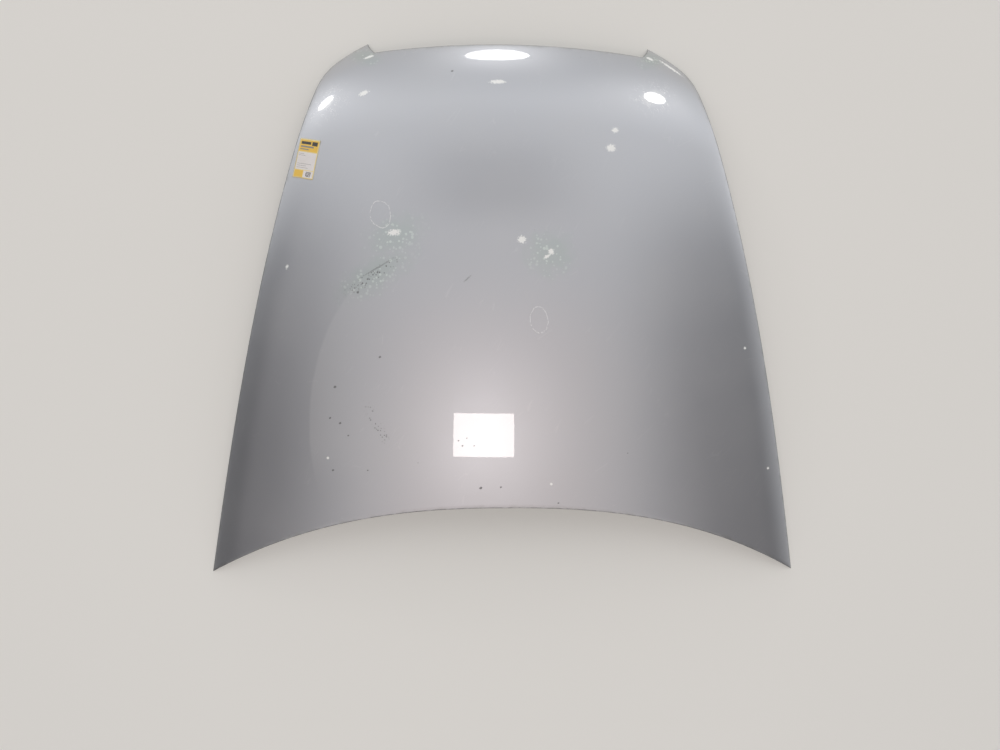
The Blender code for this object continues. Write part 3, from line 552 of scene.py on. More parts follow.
def grid_faces(index, closed=False):
    """Quads over a grid of vertex numbers; closed where each row goes on at its start."""
    if closed:
        index = np.hstack((index, index[:, :1]))
    return [(index[j, i], index[j, i + 1], index[j + 1, i + 1], index[j + 1, i])
            for j in range(len(index) - 1) for i in range(index.shape[1] - 1)]


def thicken(body, thickness, back_material=0):
    wall = body.modifiers.new("Sheet", "SOLIDIFY")
    wall.thickness = thickness
    wall.offset = -1
    wall.use_even_offset = True
    wall.material_offset = back_material
    wall.material_offset_rim = back_material


def soften(body, width, segments=2, angle=30):
    bevel = body.modifiers.new("Edges", "BEVEL")
    bevel.width = width
    bevel.segments = segments
    bevel.limit_method = "ANGLE"
    bevel.angle_limit = math.radians(angle)


def triangulated(loops, holes, loose):
    """Triangles between closed loops of plan places and loose ones; a hole's loop stays empty."""
    plan = np.vstack([*loops, *holes, loose])
    edges = []
    first = 0
    for loop in loops + holes:
        count = len(loop)
        edges += [(first + i, first + (i + 1) % count) for i in range(count)]
        first += count
    verts, _, faces, origins, _, _ = delaunay_2d_cdt([Vector(p) for p in plan], edges, [], 0, CDT_EPSILON)
    flat = np.array([v[:] for v in verts])
    faces = np.array([face for face in faces if len(face) == 3])
    middles = flat[faces].mean(axis=1)
    kept = inside(middles, loops[0])
    for hole in holes:
        kept &= ~inside(middles, hole)
    a, b, c = (flat[faces[:, k]] for k in range(3))
    area = (b[:, 0] - a[:, 0]) * (c[:, 1] - a[:, 1]) - (b[:, 1] - a[:, 1]) * (c[:, 0] - a[:, 0])
    kept &= np.abs(area) > SLIVER
    if any(not len(source) for source in origins):
        raise RuntimeError("two loops of a pressing cross each other")
    source = np.array([item[0] for item in origins])
    return source[faces[kept]]


def eased_profile(points, radii, steps):
    """A run of (radius or y, height) points with its corners rounded."""
    run = [Vector(points[0])]
    for before, here, after, radius in zip(points, points[1:], points[2:], radii):
        before, here, after = Vector(before), Vector(here), Vector(after)
        if not radius:
            run.append(here)
            continue
        back, ahead = (before - here).normalized(), (after - here).normalized()
        start, end = here + back * radius, here + ahead * radius
        for k in range(steps + 1):
            t = k / steps
            run.append((1 - t) ** 2 * start + 2 * t * (1 - t) * here + t ** 2 * end)
    run.append(Vector(points[-1]))
    return run


def turned_mesh(name, profile, steps, ring=False):
    """A profile of (radius, height) points turned round Z; it runs down its outer side."""
    shape = bmesh.new()
    points = [shape.verts.new((r, 0, z)) for r, z in profile]
    edges = [shape.edges.new(pair) for pair in zip(points, points[1:])]
    if ring:
        edges.append(shape.edges.new((points[-1], points[0])))
    bmesh.ops.spin(shape, geom=points + edges, cent=(0, 0, 0), axis=(0, 0, 1), angle=2 * math.pi, steps=steps)
    bmesh.ops.remove_doubles(shape, verts=shape.verts, dist=SEAM_MERGE)
    bmesh.ops.recalc_face_normals(shape, faces=shape.faces)
    return smooth_shape(shape, bpy.data.meshes.new(name), TURNED_CREASE)


# Short calls for making shader nodes

class Nodes:
    """Makes and joins the nodes of one material, world or group."""

    def __init__(self, tree):
        self.tree = tree
        self.made = 0

    def new(self, kind, **settings):
        node = self.tree.nodes.new(kind)
        node.location = (self.made % 9 * 190, -(self.made // 9) * 240)
        self.made += 1
        for name, value in settings.items():
            setattr(node, name, value)
        return node

    def feed(self, socket, value):
        if isinstance(value, bpy.types.NodeSocket):
            self.tree.links.new(value, socket)
        elif socket.type == "RGBA" and len(value) == 3:
            socket.default_value = (*value, 1)
        else:
            socket.default_value = value

    def filled(self, sockets, *values):
        for socket, value in zip(sockets, values):
            self.feed(socket, value)

    def math(self, operation, *values, clamp=False):
        node = self.new("ShaderNodeMath", operation=operation, use_clamp=clamp)
        self.filled(node.inputs, *values)
        return node.outputs[0]

    def chained(self, operation, first, *others):
        for other in others:
            first = self.math(operation, first, other)
        return first

    def times(self, *values):
        return self.chained("MULTIPLY", *values)

    def plus(self, *values):
        return self.chained("ADD", *values)

    def less(self, *values):
        return self.chained("SUBTRACT", *values)

    def most(self, *values):
        return self.chained("MAXIMUM", *values)

    def vector(self, operation, *values):
        node = self.new("ShaderNodeVectorMath", operation=operation)
        self.filled(node.inputs, *values)
        return node.outputs["Value" if operation == "LENGTH" else "Vector"]

    def scaled(self, vector, level):
        node = self.new("ShaderNodeVectorMath", operation="SCALE")
        self.filled((node.inputs[0], node.inputs["Scale"]), vector, level)
        return node.outputs[0]

    def turned(self, place, angle):
        node = self.new("ShaderNodeVectorRotate", rotation_type="Z_AXIS")
        self.filled((node.inputs["Vector"], node.inputs["Angle"]), place, angle)
        return node.outputs[0]

    def mix(self, share, first, second):
        """A colour between two colours."""
        node = self.new("ShaderNodeMix", data_type="RGBA")
        self.filled(node.inputs[:1] + node.inputs[6:8], share, first, second)
        return node.outputs[2]

    def blend(self, share, first, second):
        """A value between two values."""
        node = self.new("ShaderNodeMix", data_type="FLOAT")
        self.filled(node.inputs[:1] + node.inputs[2:4], share, first, second)
        return node.outputs[0]

    def ease(self, value, low, high, to_low=0.0, to_high=1.0):
        node = self.new("ShaderNodeMapRange", interpolation_type="SMOOTHSTEP")
        self.filled(node.inputs, value, low, high, to_low, to_high)
        return node.outputs[0]

    def fade(self, value, low, high):
        return self.ease(value, low, high, 1.0, 0.0)

    def noise(self, place, scale, detail=2.0, roughness=0.5):
        node = self.new("ShaderNodeTexNoise")
        self.filled((node.inputs["Vector"], node.inputs["Scale"]), place, scale)
        node.inputs["Detail"].default_value = detail
        node.inputs["Roughness"].default_value = roughness
        return node.outputs[0]

    def cells(self, place, spacing, feature="F1"):
        node = self.new("ShaderNodeTexVoronoi", feature=feature)
        self.filled((node.inputs["Vector"], node.inputs["Scale"]), place, self.math("DIVIDE", 1.0, spacing))
        return node.outputs

    def parts(self, vector):
        node = self.new("ShaderNodeSeparateXYZ")
        self.feed(node.inputs[0], vector)
        return node.outputs

    def joined(self, x, y, z):
        node = self.new("ShaderNodeCombineXYZ")
        self.filled(node.inputs, x, y, z)
        return node.outputs[0]

    def group(self, name, **values):
        """The outputs of a shared group, which is made when it is first asked for."""
        tree = bpy.data.node_groups.get(name) or GROUP_MAKERS[name]()
        node = self.new("ShaderNodeGroup", node_tree=tree)
        for socket, value in values.items():
            self.feed(node.inputs[socket.replace("_", " ")], value)
        return node.outputs


# Effects that several finishes share

OVAL = {"Place": None, "Centre": None, "Length": 0.02, "Width": 0.02, "Turn": 0.0}


def new_group(name, inputs, outputs=(("Mask", "Float"),)):
    """A shader node group; returns its Nodes, the sockets that it is given and those that it fills."""
    tree = bpy.data.node_groups.new(name, "ShaderNodeTree")
    for socket, value in inputs.items():
        kind = "Vector" if value is None else "Color" if isinstance(value, tuple) else "Float"
        made = tree.interface.new_socket(socket, in_out="INPUT", socket_type="NodeSocket" + kind)
        if value is not None:
            made.default_value = value
    for socket, kind in outputs:
        tree.interface.new_socket(socket, in_out="OUTPUT", socket_type="NodeSocket" + kind)
    nodes = Nodes(tree)
    return nodes, nodes.new("NodeGroupInput").outputs, nodes.new("NodeGroupOutput").inputs


def oval_reach(nodes, given):
    """How far a place lies from an oval's centre: 1 on its edge."""
    offset = nodes.vector("SUBTRACT", given["Place"], given["Centre"])
    local = nodes.parts(nodes.turned(offset, nodes.times(given["Turn"], -1.0)))
    x = nodes.math("DIVIDE", local[0], given["Length"])
    y = nodes.math("DIVIDE", local[1], given["Width"])
    return nodes.vector("LENGTH", nodes.joined(x, y, 0.0))


def patch_group():
    """Mask of an oval patch at a place: 1 inside, fading out over its edge, which a shake makes ragged."""
    nodes, given, out = new_group("Patch", {**OVAL, "Soft": 0.3, "Shake": 0.0})
    reach = nodes.plus(oval_reach(nodes, given), given["Shake"])
    nodes.feed(out["Mask"], nodes.fade(reach, nodes.less(1.0, given["Soft"]), nodes.plus(1.0, given["Soft"])))
    return nodes.tree


def hoop_group():
    """Mask of a thin broken hoop drawn by hand round a place."""
    nodes, given, out = new_group("Hoop", {**OVAL, "Line": 0.065})
    wobble = nodes.times(nodes.less(nodes.noise(given["Place"], 45.0), 0.5), 0.35)
    away = nodes.math("ABSOLUTE", nodes.less(nodes.plus(oval_reach(nodes, given), wobble), 1.0))
    line = nodes.fade(away, nodes.times(given["Line"], 0.4), given["Line"])
    broken = nodes.ease(nodes.noise(given["Place"], 260.0), 0.38, 0.52)
    nodes.feed(out["Mask"], nodes.times(line, broken))
    return nodes.tree


def specks_group():
    """Mask of scattered specks: their spacing, the share of cells that hold one, and their size."""
    nodes, given, out = new_group("Specks", {"Place": None, "Spacing": 0.005, "Share": 0.3, "Size": 0.3})
    cell = nodes.cells(given["Place"], given["Spacing"])
    picked = nodes.parts(cell["Color"])
    size = nodes.times(given["Size"], nodes.plus(0.4, picked[1]))
    dot = nodes.fade(cell["Distance"], nodes.times(size, 0.7), size)
    nodes.feed(out["Mask"], nodes.times(dot, nodes.math("LESS_THAN", picked[0], given["Share"])))
    return nodes.tree


def scratches_group():
    """Mask of fine straight scratches that lie in one main direction."""
    nodes, given, out = new_group("Scratches", {"Place": None, "Turn": 0.0, "Spacing": 0.006, "Share": 0.3})
    drawn = nodes.vector("MULTIPLY", nodes.turned(given["Place"], given["Turn"]), (0.06, 1.0, 1.0))
    lines = nodes.cells(drawn, given["Spacing"], "DISTANCE_TO_EDGE")["Distance"]
    where = nodes.noise(given["Place"], nodes.math("DIVIDE", 0.35, given["Spacing"]))
    nodes.feed(out["Mask"], nodes.times(nodes.fade(lines, 0.004, 0.02),
                                        nodes.math("LESS_THAN", where, given["Share"])))
    return nodes.tree


def grain_group():
    """A fine even grain, as a value round 0.5, with broad clouds in it."""
    nodes, given, out = new_group("Grain", {"Place": None, "Fine": 900.0, "Broad": 8.0, "Clouds": 0.5},
                                  (("Value", "Float"),))
    fine = nodes.noise(given["Place"], given["Fine"], 3.0, 0.6)
    broad = nodes.noise(given["Place"], given["Broad"], 4.0, 0.6)
    nodes.feed(out["Value"], nodes.blend(given["Clouds"], fine, broad))
    return nodes.tree


def dust_group():
    """Dust over a colour: blotches and fine dots; gives the dusty colour and the dust's mask."""
    nodes, given, out = new_group("Dust", {
        "Place": None, "Colour": (0.5, 0.5, 0.5, 1), "Dust Colour": (0.42, 0.38, 0.32, 1), "Amount": 0.3,
        "Broad": 6.0}, (("Colour", "Color"), ("Mask", "Float")))
    clouds = nodes.ease(nodes.noise(given["Place"], given["Broad"], 5.0, 0.65), 0.35, 0.75)
    dots = nodes.ease(nodes.noise(given["Place"], nodes.times(given["Broad"], 60.0)), 0.45, 0.7)
    blotches = nodes.plus(nodes.times(clouds, 0.75), nodes.times(dots, 0.25))
    mask = nodes.math("MULTIPLY", blotches, given["Amount"], clamp=True)
    nodes.feed(out["Colour"], nodes.mix(mask, given["Colour"], given["Dust Colour"]))
    nodes.feed(out["Mask"], mask)
    return nodes.tree


def field_group():
    """Mask of one printed rectangle on the label."""
    nodes, given, out = new_group("Printed Field", {"Place": None, "Left": 0.0, "Right": 1.0, "Low": 0.0,
                                                    "High": 1.0})
    x, y, _ = nodes.parts(given["Place"])
    nodes.feed(out["Mask"], nodes.times(
        nodes.math("GREATER_THAN", x, given["Left"]), nodes.math("LESS_THAN", x, given["Right"]),
        nodes.math("GREATER_THAN", y, given["Low"]), nodes.math("LESS_THAN", y, given["High"])))
    return nodes.tree


GROUP_MAKERS = {"Patch": patch_group, "Hoop": hoop_group, "Specks": specks_group, "Grain": grain_group,
                "Scratches": scratches_group, "Dust": dust_group, "Printed Field": field_group}


class Finish(Nodes):
    """The nodes of one material, with its Principled shader's sockets and the place on the object."""

    def __init__(self, name, roughness, metallic=0.0, coat=0.0, coat_roughness=0.03, sheen=0.0):
        self.material = bpy.data.materials.new(name + "_finish")
        self.material.use_nodes = True
        super().__init__(self.material.node_tree)
        self.shader = self.tree.nodes["Principled BSDF"].inputs
        for socket, value in (("Roughness", roughness), ("Metallic", metallic), ("Coat Weight", coat),
                              ("Coat Roughness", coat_roughness), ("Sheen Weight", sheen)):
            self.shader[socket].default_value = value
        self.place = self.new("ShaderNodeTexCoord").outputs["Object"]

    def set(self, socket, value):
        self.feed(self.shader[socket], value)

    def clouds(self, scale, detail=2.0, roughness=0.5):
        return self.noise(self.place, scale, detail, roughness)

    def grain(self, fine, broad, clouds):
        return self.group("Grain", Place=self.place, Fine=fine, Broad=broad, Clouds=clouds)["Value"]

    def specks(self, spacing, share, size):
        return self.group("Specks", Place=self.place, Spacing=spacing, Share=share, Size=size)["Mask"]

    def scratches(self, turn, spacing, share):
        return self.group("Scratches", Place=self.place, Turn=turn, Spacing=spacing, Share=share)["Mask"]

    def oval(self, group, x, y, length, width, turn=0.0, **values):
        """Mask of one oval mark round a plan place, with its turn in degrees."""
        return self.group(group, Place=self.place, Centre=on_skin(x, y), Length=length, Width=width,
                          Turn=math.radians(turn), **values)["Mask"]

    def dusty(self, colour, dust_colour, amount, broad):
        return self.group("Dust", Place=self.place, Colour=colour, Dust_Colour=dust_colour, Amount=amount,
                          Broad=broad)

    def tones(self, grain, dark, pale):
        return self.mix(self.ease(grain, 0.3, 0.7), dark, pale)

    def rough(self, low, grain, span):
        self.set("Roughness", self.plus(low, self.times(grain, span)))

    def grained(self, grain, roughness, span, strength, distance):
        """Roughness and relief that follow one grain."""
        self.rough(roughness, grain, span)
        self.relief(grain, strength, distance)

    def relief(self, height_value, strength, distance):
        node = self.new("ShaderNodeBump")
        node.inputs["Strength"].default_value = strength
        node.inputs["Distance"].default_value = distance
        self.feed(node.inputs["Height"], height_value)
        self.set("Normal", node.outputs[0])


# Marks on the paint: plan place, half length, half width, turn in degrees; chips have one radius instead

# Painted highlights: a pale halo painted round the two mirrored lamps, and swirl scratches painted pale as
# glints within the hair reach round them
HALOED_SPOTS = ((-0.429, 0.944, 0.017, 0.007, 40), (0.337, 0.968, 0.020, 0.014, 20))
HAIR_REACH = (0.05, 0.035)
# Painted highlights: white glints where dents mirror lamps, painted as white colour on the paint
GLINTS = ((-0.335, 1.068, 0.011, 0.0035, 20), (-0.340, 0.967, 0.011, 0.005, 25),
          (0.342, 1.079, 0.009, 0.004, -20), (-0.030, 0.991, 0.017, 0.0045, 0),
          (0.243, 0.882, 0.007, 0.0055, 20), (0.233, 0.840, 0.010, 0.008, 0),
          (-0.266, 0.640, 0.013, 0.0065, 5), (0.027, 0.624, 0.009, 0.008, 0),
          (0.094, 0.597, 0.006, 0.007, 0), (0.084, 0.586, 0.0065, 0.0035, 20),
          (-0.518, 0.563, 0.005, 0.003, 70), (0.601, 0.466, 0.005, 0.003, 80),
          (0.392, 1.059, 0.030, 0.0035, -38))
# Greenish tint painted round the glints as part of their painted reflections, and one patch over a chip
# streak
GREEN_PATCHES = ((-0.264, 0.634, 0.055, 0.035, 20), (0.089, 0.592, 0.045, 0.040, 0),
                 (-0.345, 1.070, 0.030, 0.020, -30), (0.345, 1.075, 0.030, 0.020, 30),
                 (-0.310, 0.545, 0.080, 0.030, 32))
CRAYON_RINGS = ((-0.298, 0.682, 0.0238, 0.0305, 15), (0.067, 0.441, 0.0205, 0.0300, 8))
CHIP_STREAKS = ((-0.316, 0.540, 0.064, 0.012, 32), (-0.308, 0.198, 0.044, 0.010, -62))
DARK_SCRATCHES = ((-0.098, 0.534, 0.0095, 0.0016, 42), (-0.306, 0.558, 0.036, 0.0016, 30))
DARK_CHIPS = ((-0.405, 0.284, 0.0034), (-0.418, 0.211, 0.0028), (-0.394, 0.199, 0.0032),
              (-0.413, 0.087, 0.0028), (-0.299, 0.354, 0.0030), (-0.135, 1.019, 0.0030),
              (-0.065, 0.049, 0.0034), (-0.018, 0.051, 0.0024), (0.118, 0.012, 0.0022),
              (-0.350, 0.503, 0.0034), (-0.375, 0.170, 0.0022), (-0.330, 0.088, 0.0022),
              (-0.117, 0.161, 0.0020), (-0.098, 0.167, 0.0018), (-0.108, 0.149, 0.0022),
              (-0.081, 0.149, 0.0018))
PALE_CHIPS = ((-0.425, 0.116, 0.0030), (0.100, 0.058, 0.0030), (0.568, 0.379, 0.0030), (0.643, 0.084, 0.0030))
# Painted reflection: a paler zone with a curved border, where the paint mirrors something pale
PALE_REFLECTION_AREA = (-0.190, 0.185, 0.278, 0.415)
PALE_REFLECTION_FADES_BELOW = (0.02, 0.17)
COAT_IOR = 1.7
# Greenish tint and pale green specks of the painted reflections round the glints
GREEN_CAST = (0.40, 0.49, 0.45)
GREEN_SPECK = (0.80, 0.88, 0.82)
PAINT_DUST = (0.55, 0.54, 0.51)
# Colour of the painted pale reflection
PALE_REFLECTION = (0.80, 0.80, 0.80)
# Pale colour of the painted glints, halos and scratch glints, and of the real pale chips
PALE_MARK_AND_GLINT = (0.95, 0.955, 0.93)
CRAYON = (0.88, 0.88, 0.88)
CHIPPED = (0.10, 0.10, 0.10)
# Darker dashed line along the rim, and a darker band near it
RIM_DARK_LINE = (0.055, 0.062, 0.055)
NEAR_RIM_DARK = (0.20, 0.21, 0.18)


def on_skin(x, y):
    """A plan place's point on the laid skin, as a shader vector with no height."""
    point = laid(raised((x, y), 0))
    return (float(point[0]), float(point[1]), 0.0)


def shaken(paint, ragged, scale):
    return paint.times(paint.less(paint.clouds(scale, 3.0, 0.6), 0.5), ragged)


def marked(paint, places, soft, ragged, scale):
    """Mask of several oval patches with one raggedness."""
    shake = shaken(paint, ragged, scale)
    return paint.most(*[paint.oval("Patch", *place, Soft=soft, Shake=shake) for place in places])


def pale_reflection_mask(paint):
    """Painted reflection: a paler patch with a sharp curved border on its left, which fades to its right and
    its foot.
    """
    x, y, length, width = PALE_REFLECTION_AREA
    patch = paint.oval("Patch", x, y, length, width, Soft=0.012, Shake=shaken(paint, 0.02, 9.0))
    at = paint.parts(paint.place)
    low, high = (on_skin(x, y)[1] for y in PALE_REFLECTION_FADES_BELOW)
    return paint.times(patch, paint.fade(at[0], x - length * 1.05, x - length * 0.35),
                       paint.ease(at[1], low, high), 0.22)


def pale_mask(paint):
    """Painted glints, painted halos round two lamp reflections and hair scratches painted pale as glints,
    with real pale chips.
    """
    halo = paint.times(marked(paint, HALOED_SPOTS, 0.9, 0.8, 60.0), 0.5)
    scratch_glint_areas = [(x, y, *HAIR_REACH, turn) for x, y, _, _, turn in HALOED_SPOTS]
    hair = paint.times(paint.scratches(0.9, 0.004, 0.5), marked(paint, scratch_glint_areas, 0.7, 0.0, 60.0))
    faint = paint.times(paint.scratches(2.2, 0.019, 0.40), 0.05)
    hair = paint.math("ADD", hair, faint, clamp=True)
    glint = paint.times(marked(paint, GLINTS, 0.35, 2.0, 260.0), 0.95)
    chip = marked(paint, [(x, y, r, r, 0) for x, y, r in PALE_CHIPS], 0.3, 0.9, 350.0)
    return paint.most(glint, chip, halo, hair)


def chip_mask(paint):
    """Dark stone chips: streaks of fine ones, strays, single ones and two scratches."""
    streak = paint.times(marked(paint, CHIP_STREAKS, 0.6, 1.0, 60.0), paint.specks(0.0050, 0.66, 0.40))
    single = marked(paint, [(x, y, r, 0.8 * r, 30) for x, y, r in DARK_CHIPS], 0.25, 1.5, 420.0)
    scratch = paint.times(marked(paint, DARK_SCRATCHES, 0.5, 3.0, 420.0), 0.6)
    return paint.most(single, scratch, streak, paint.specks(0.055, 0.22, 0.022))


def silver_paint():
    """Metallic silver under clear coat, with its chips, crayon rings, greenish patches, dust and darker rim,
    and with painted glints, halos and a painted pale reflection.
    """
    settings = bpy.context.scene.bonnet_paint
    paint = Finish("silver_paint", settings.roughness, settings.metallic, coat=1.0, coat_roughness=0.012)
    paint.shader["Coat IOR"].default_value = COAT_IOR
    clouds = paint.clouds(5.0, 3.0)
    level = paint.plus(0.955, paint.times(paint.clouds(1400.0), 0.05), paint.times(clouds, 0.04))
    colour = paint.scaled(tuple(settings.colour), level)

    # Painted reflection: greenish tint and pale green specks round the glints
    green = paint.times(marked(paint, GREEN_PATCHES, 0.8, 1.6, 45.0), 0.42)
    colour = paint.mix(green, colour, GREEN_CAST)
    colour = paint.mix(paint.times(green, paint.specks(0.0075, 0.5, 0.45)), colour, GREEN_SPECK)
    dust = paint.dusty(colour, PAINT_DUST, settings.dust, 5.0)
    # Painted reflection: the paler zone with a curved border
    colour = paint.mix(pale_reflection_mask(paint), dust["Colour"], PALE_REFLECTION)

    # The pale mask holds painted glints, halos and scratch glints besides pale chips
    pale = pale_mask(paint)
    crayon = paint.most(*[paint.oval("Hoop", *place) for place in CRAYON_RINGS])
    chip = chip_mask(paint)
    colour = paint.mix(pale, colour, PALE_MARK_AND_GLINT)
    colour = paint.mix(paint.times(crayon, 0.48), colour, CRAYON)
    colour = paint.mix(paint.times(chip, 0.75), colour, CHIPPED)

    # Darker dashed line along the rim, and a darker cloudy band just inside it
    rim = paint.new("ShaderNodeAttribute", attribute_name="from_rim").outputs["Fac"]
    dashes = paint.ease(paint.clouds(70.0), 0.30, 0.55, 0.35, 1.0)
    line = paint.times(paint.fade(rim, 0.0010, 0.0034), dashes)
    colour = paint.mix(paint.times(line, 0.75), colour, RIM_DARK_LINE)
    near_rim_dark = paint.times(paint.fade(rim, 0.002, 0.012), paint.ease(paint.clouds(24.0, 4.0, 0.7), 0.4, 0.75))
    paint.set("Base Color", paint.mix(paint.times(near_rim_dark, 0.35), colour, NEAR_RIM_DARK))

    # Chips, crayon, the rim line and the painted glints and halos all lower the metal and the coat
    marks_and_glints = paint.most(chip, pale, crayon, paint.times(line, 0.8))
    paint.set("Metallic", paint.blend(marks_and_glints, settings.metallic, 0.15))
    paint.set("Coat Weight", paint.blend(marks_and_glints, 1.0, 0.25))
    paint.rough(paint.plus(settings.roughness - 0.02, paint.times(clouds, 0.04)), dust["Mask"], 0.2)
    return paint.material


# The other finishes

def coated_steel():
    """The thin satin coat inside: body colour over primer, cloudy and dusty, with a few brown specks."""
    steel = Finish("coated_steel", 0.45, 0.45, coat=0.15, coat_roughness=0.2)
    clouds = steel.grain(700.0, 9.0, 0.7)
    colour = steel.tones(clouds, (0.36, 0.37, 0.39), (0.46, 0.47, 0.50))
    dust = steel.dusty(colour, (0.34, 0.30, 0.25), 0.55, 5.0)
    steel.set("Base Color", steel.mix(steel.specks(0.045, 0.25, 0.035), dust["Colour"], (0.16, 0.11, 0.08)))
    steel.set("Metallic", steel.times(steel.less(1.0, dust["Mask"]), 0.45))
    steel.rough(0.36, clouds, 0.25)
    steel.relief(steel.clouds(420.0), 0.10, 0.0004)
    return steel.material


def bare_steel():
    """Dull phosphated steel with a few brown spots."""
    steel = Finish("bare_steel", 0.5, 0.85)
    grain = steel.grain(1500.0, 60.0, 0.5)
    spots = steel.times(steel.ease(steel.clouds(130.0, 3.0, 0.7), 0.62, 0.72), 0.7)
    steel.set("Base Color", steel.mix(spots, steel.tones(grain, (0.22, 0.22, 0.22), (0.40, 0.40, 0.39)),
                                      (0.20, 0.10, 0.05)))
    steel.grained(grain, 0.35, 0.3, 0.15, 0.0003)
    return steel.material


def zinc_steel():
    """Zinc plating with a faint yellow cast, rubbed dull in places."""
    zinc = Finish("zinc_plated_steel", 0.33, 1.0)
    grain = zinc.grain(2200.0, 90.0, 0.6)
    colour = zinc.mix(zinc.ease(zinc.clouds(60.0), 0.35, 0.65), (0.66, 0.62, 0.50), (0.58, 0.60, 0.60))
    dull = zinc.times(zinc.ease(grain, 0.42, 0.62), 0.5)
    zinc.set("Base Color", zinc.mix(dull, colour, (0.40, 0.40, 0.39)))
    zinc.grained(grain, 0.22, 0.3, 0.12, 0.0002)
    return zinc.material


def black_rubber():
    """Matt black rubber with a dusty bloom."""
    rubber = Finish("black_rubber", 0.72)
    grain = rubber.grain(2600.0, 70.0, 0.4)
    base = rubber.tones(grain, (0.016, 0.016, 0.017), (0.030, 0.030, 0.031))
    rubber.set("Base Color", rubber.dusty(base, (0.20, 0.19, 0.17), 0.35, 40.0)["Colour"])
    rubber.grained(grain, 0.6, 0.25, 0.25, 0.0003)
    return rubber.material


def black_plastic():
    """Moulded black plastic with a fine spark-eroded grain."""
    plastic = Finish("black_plastic", 0.48)
    grain = plastic.grain(3200.0, 120.0, 0.25)
    plastic.set("Base Color", plastic.tones(grain, (0.022, 0.022, 0.024), (0.042, 0.042, 0.044)))
    plastic.grained(grain, 0.38, 0.25, 0.3, 0.0002)
    return plastic.material


def black_felt():
    """Pressed black felt: tangled fibres, a few pale ones, and road dust."""
    felt = Finish("black_felt", 0.95, sheen=0.25)
    along = felt.noise(felt.vector("MULTIPLY", felt.place, (1.0, 0.35, 1.0)), 900.0, 4.0, 0.7)
    across = felt.noise(felt.vector("MULTIPLY", felt.place, (0.35, 1.0, 1.0)), 1100.0, 4.0, 0.7)
    fuzz = felt.most(along, across)
    base = felt.mix(felt.ease(fuzz, 0.4, 0.75), (0.014, 0.014, 0.015), (0.070, 0.069, 0.068))
    base = felt.mix(felt.times(felt.scratches(0.7, 0.0035, 0.36), 0.5), base, (0.30, 0.29, 0.27))
    felt.set("Base Color", felt.dusty(base, (0.17, 0.15, 0.12), 0.35, 12.0)["Colour"])
    felt.relief(fuzz, 0.6, 0.0008)
    return felt.material


def mastic_bead():
    """Dull grey-brown mastic with a dragged, lumpy face."""
    mastic = Finish("mastic", 0.8)
    grain = mastic.grain(900.0, 150.0, 0.5)
    mastic.set("Base Color", mastic.tones(grain, (0.20, 0.185, 0.155), (0.34, 0.32, 0.27)))
    mastic.grained(grain, 0.65, 0.25, 0.5, 0.0010)
    return mastic.material


# The label's printed fields: left, right, low and high as shares of its width and length, and colour

YELLOW = (0.90, 0.58, 0.09)
CREAM = (0.88, 0.74, 0.38)
PALE_PAPER = (0.84, 0.81, 0.80)
INK = (0.05, 0.05, 0.05)
GREY_INK = (0.28, 0.28, 0.27)
CODE_FIELD = (0.60, 0.86, 0.05, 0.18)
CODE_CELLS = 130.0
LABEL_FIELDS = ((0.05, 0.95, 0.68, 0.97, YELLOW), (0.05, 0.95, 0.22, 0.66, PALE_PAPER),
                (0.05, 0.47, 0.03, 0.20, YELLOW), (0.49, 0.95, 0.03, 0.20, PALE_PAPER),
                (0.10, 0.58, 0.86, 0.93, INK), (0.64, 0.90, 0.84, 0.94, INK),
                (0.10, 0.74, 0.78, 0.82, GREY_INK), (0.10, 0.52, 0.72, 0.745, GREY_INK), (*CODE_FIELD, INK))
LABEL_LINES = ((0.61, 0.34), (0.57, 0.42), (0.36, 0.78), (0.31, 0.55), (0.26, 0.66))
LINE_START = 0.10
LINE_HEIGHT = 0.014


def printed_paper():
    """A yellow and white paper label: blocks, thin lines and a code patch, none of which says anything."""
    paper = Finish("paper", 0.55, coat=0.12, coat_roughness=0.25)
    on_label = paper.new("ShaderNodeUVMap", uv_map="label").outputs[0]

    def field(left, right, low, high):
        edges = {"Left": left, "Right": right, "Low": low, "High": high}
        return paper.group("Printed Field", Place=on_label, **edges)["Mask"]

    colour = CREAM
    for *edges, ink in LABEL_FIELDS:
        colour = paper.mix(field(*edges), colour, ink)
    broken = paper.ease(paper.clouds(1500.0, 1.0), 0.40, 0.46)
    for low, right in LABEL_LINES:
        line = paper.times(field(LINE_START, right, low, low + LINE_HEIGHT), broken, 0.75)
        colour = paper.mix(line, colour, GREY_INK)
    cell = paper.new("ShaderNodeTexWhiteNoise", noise_dimensions="2D")
    stretched = paper.vector("MULTIPLY", on_label, (CODE_CELLS * 0.5, CODE_CELLS, 0.0))
    paper.feed(cell.inputs["Vector"], paper.vector("FLOOR", stretched))
    light = paper.times(field(*CODE_FIELD), paper.math("GREATER_THAN", cell.outputs["Value"], 0.5))
    colour = paper.mix(light, colour, PALE_PAPER)
    paper.set("Base Color", paper.dusty(colour, (0.50, 0.46, 0.36), 0.18, 30.0)["Colour"])
    paper.relief(paper.clouds(1800.0), 0.15, 0.0002)
    return paper.material


MATERIAL_MAKERS = {"silver_paint": silver_paint, "coated_steel": coated_steel, "bare_steel": bare_steel,
                   "zinc_plated_steel": zinc_steel, "black_rubber": black_rubber, "mastic": mastic_bead,
                   "black_plastic": black_plastic, "black_felt": black_felt, "paper": printed_paper}


def finish(slot):
    """The material of one of the record's slots, made when it is first asked for."""
    return bpy.data.materials.get(slot + "_finish") or MATERIAL_MAKERS[slot]()


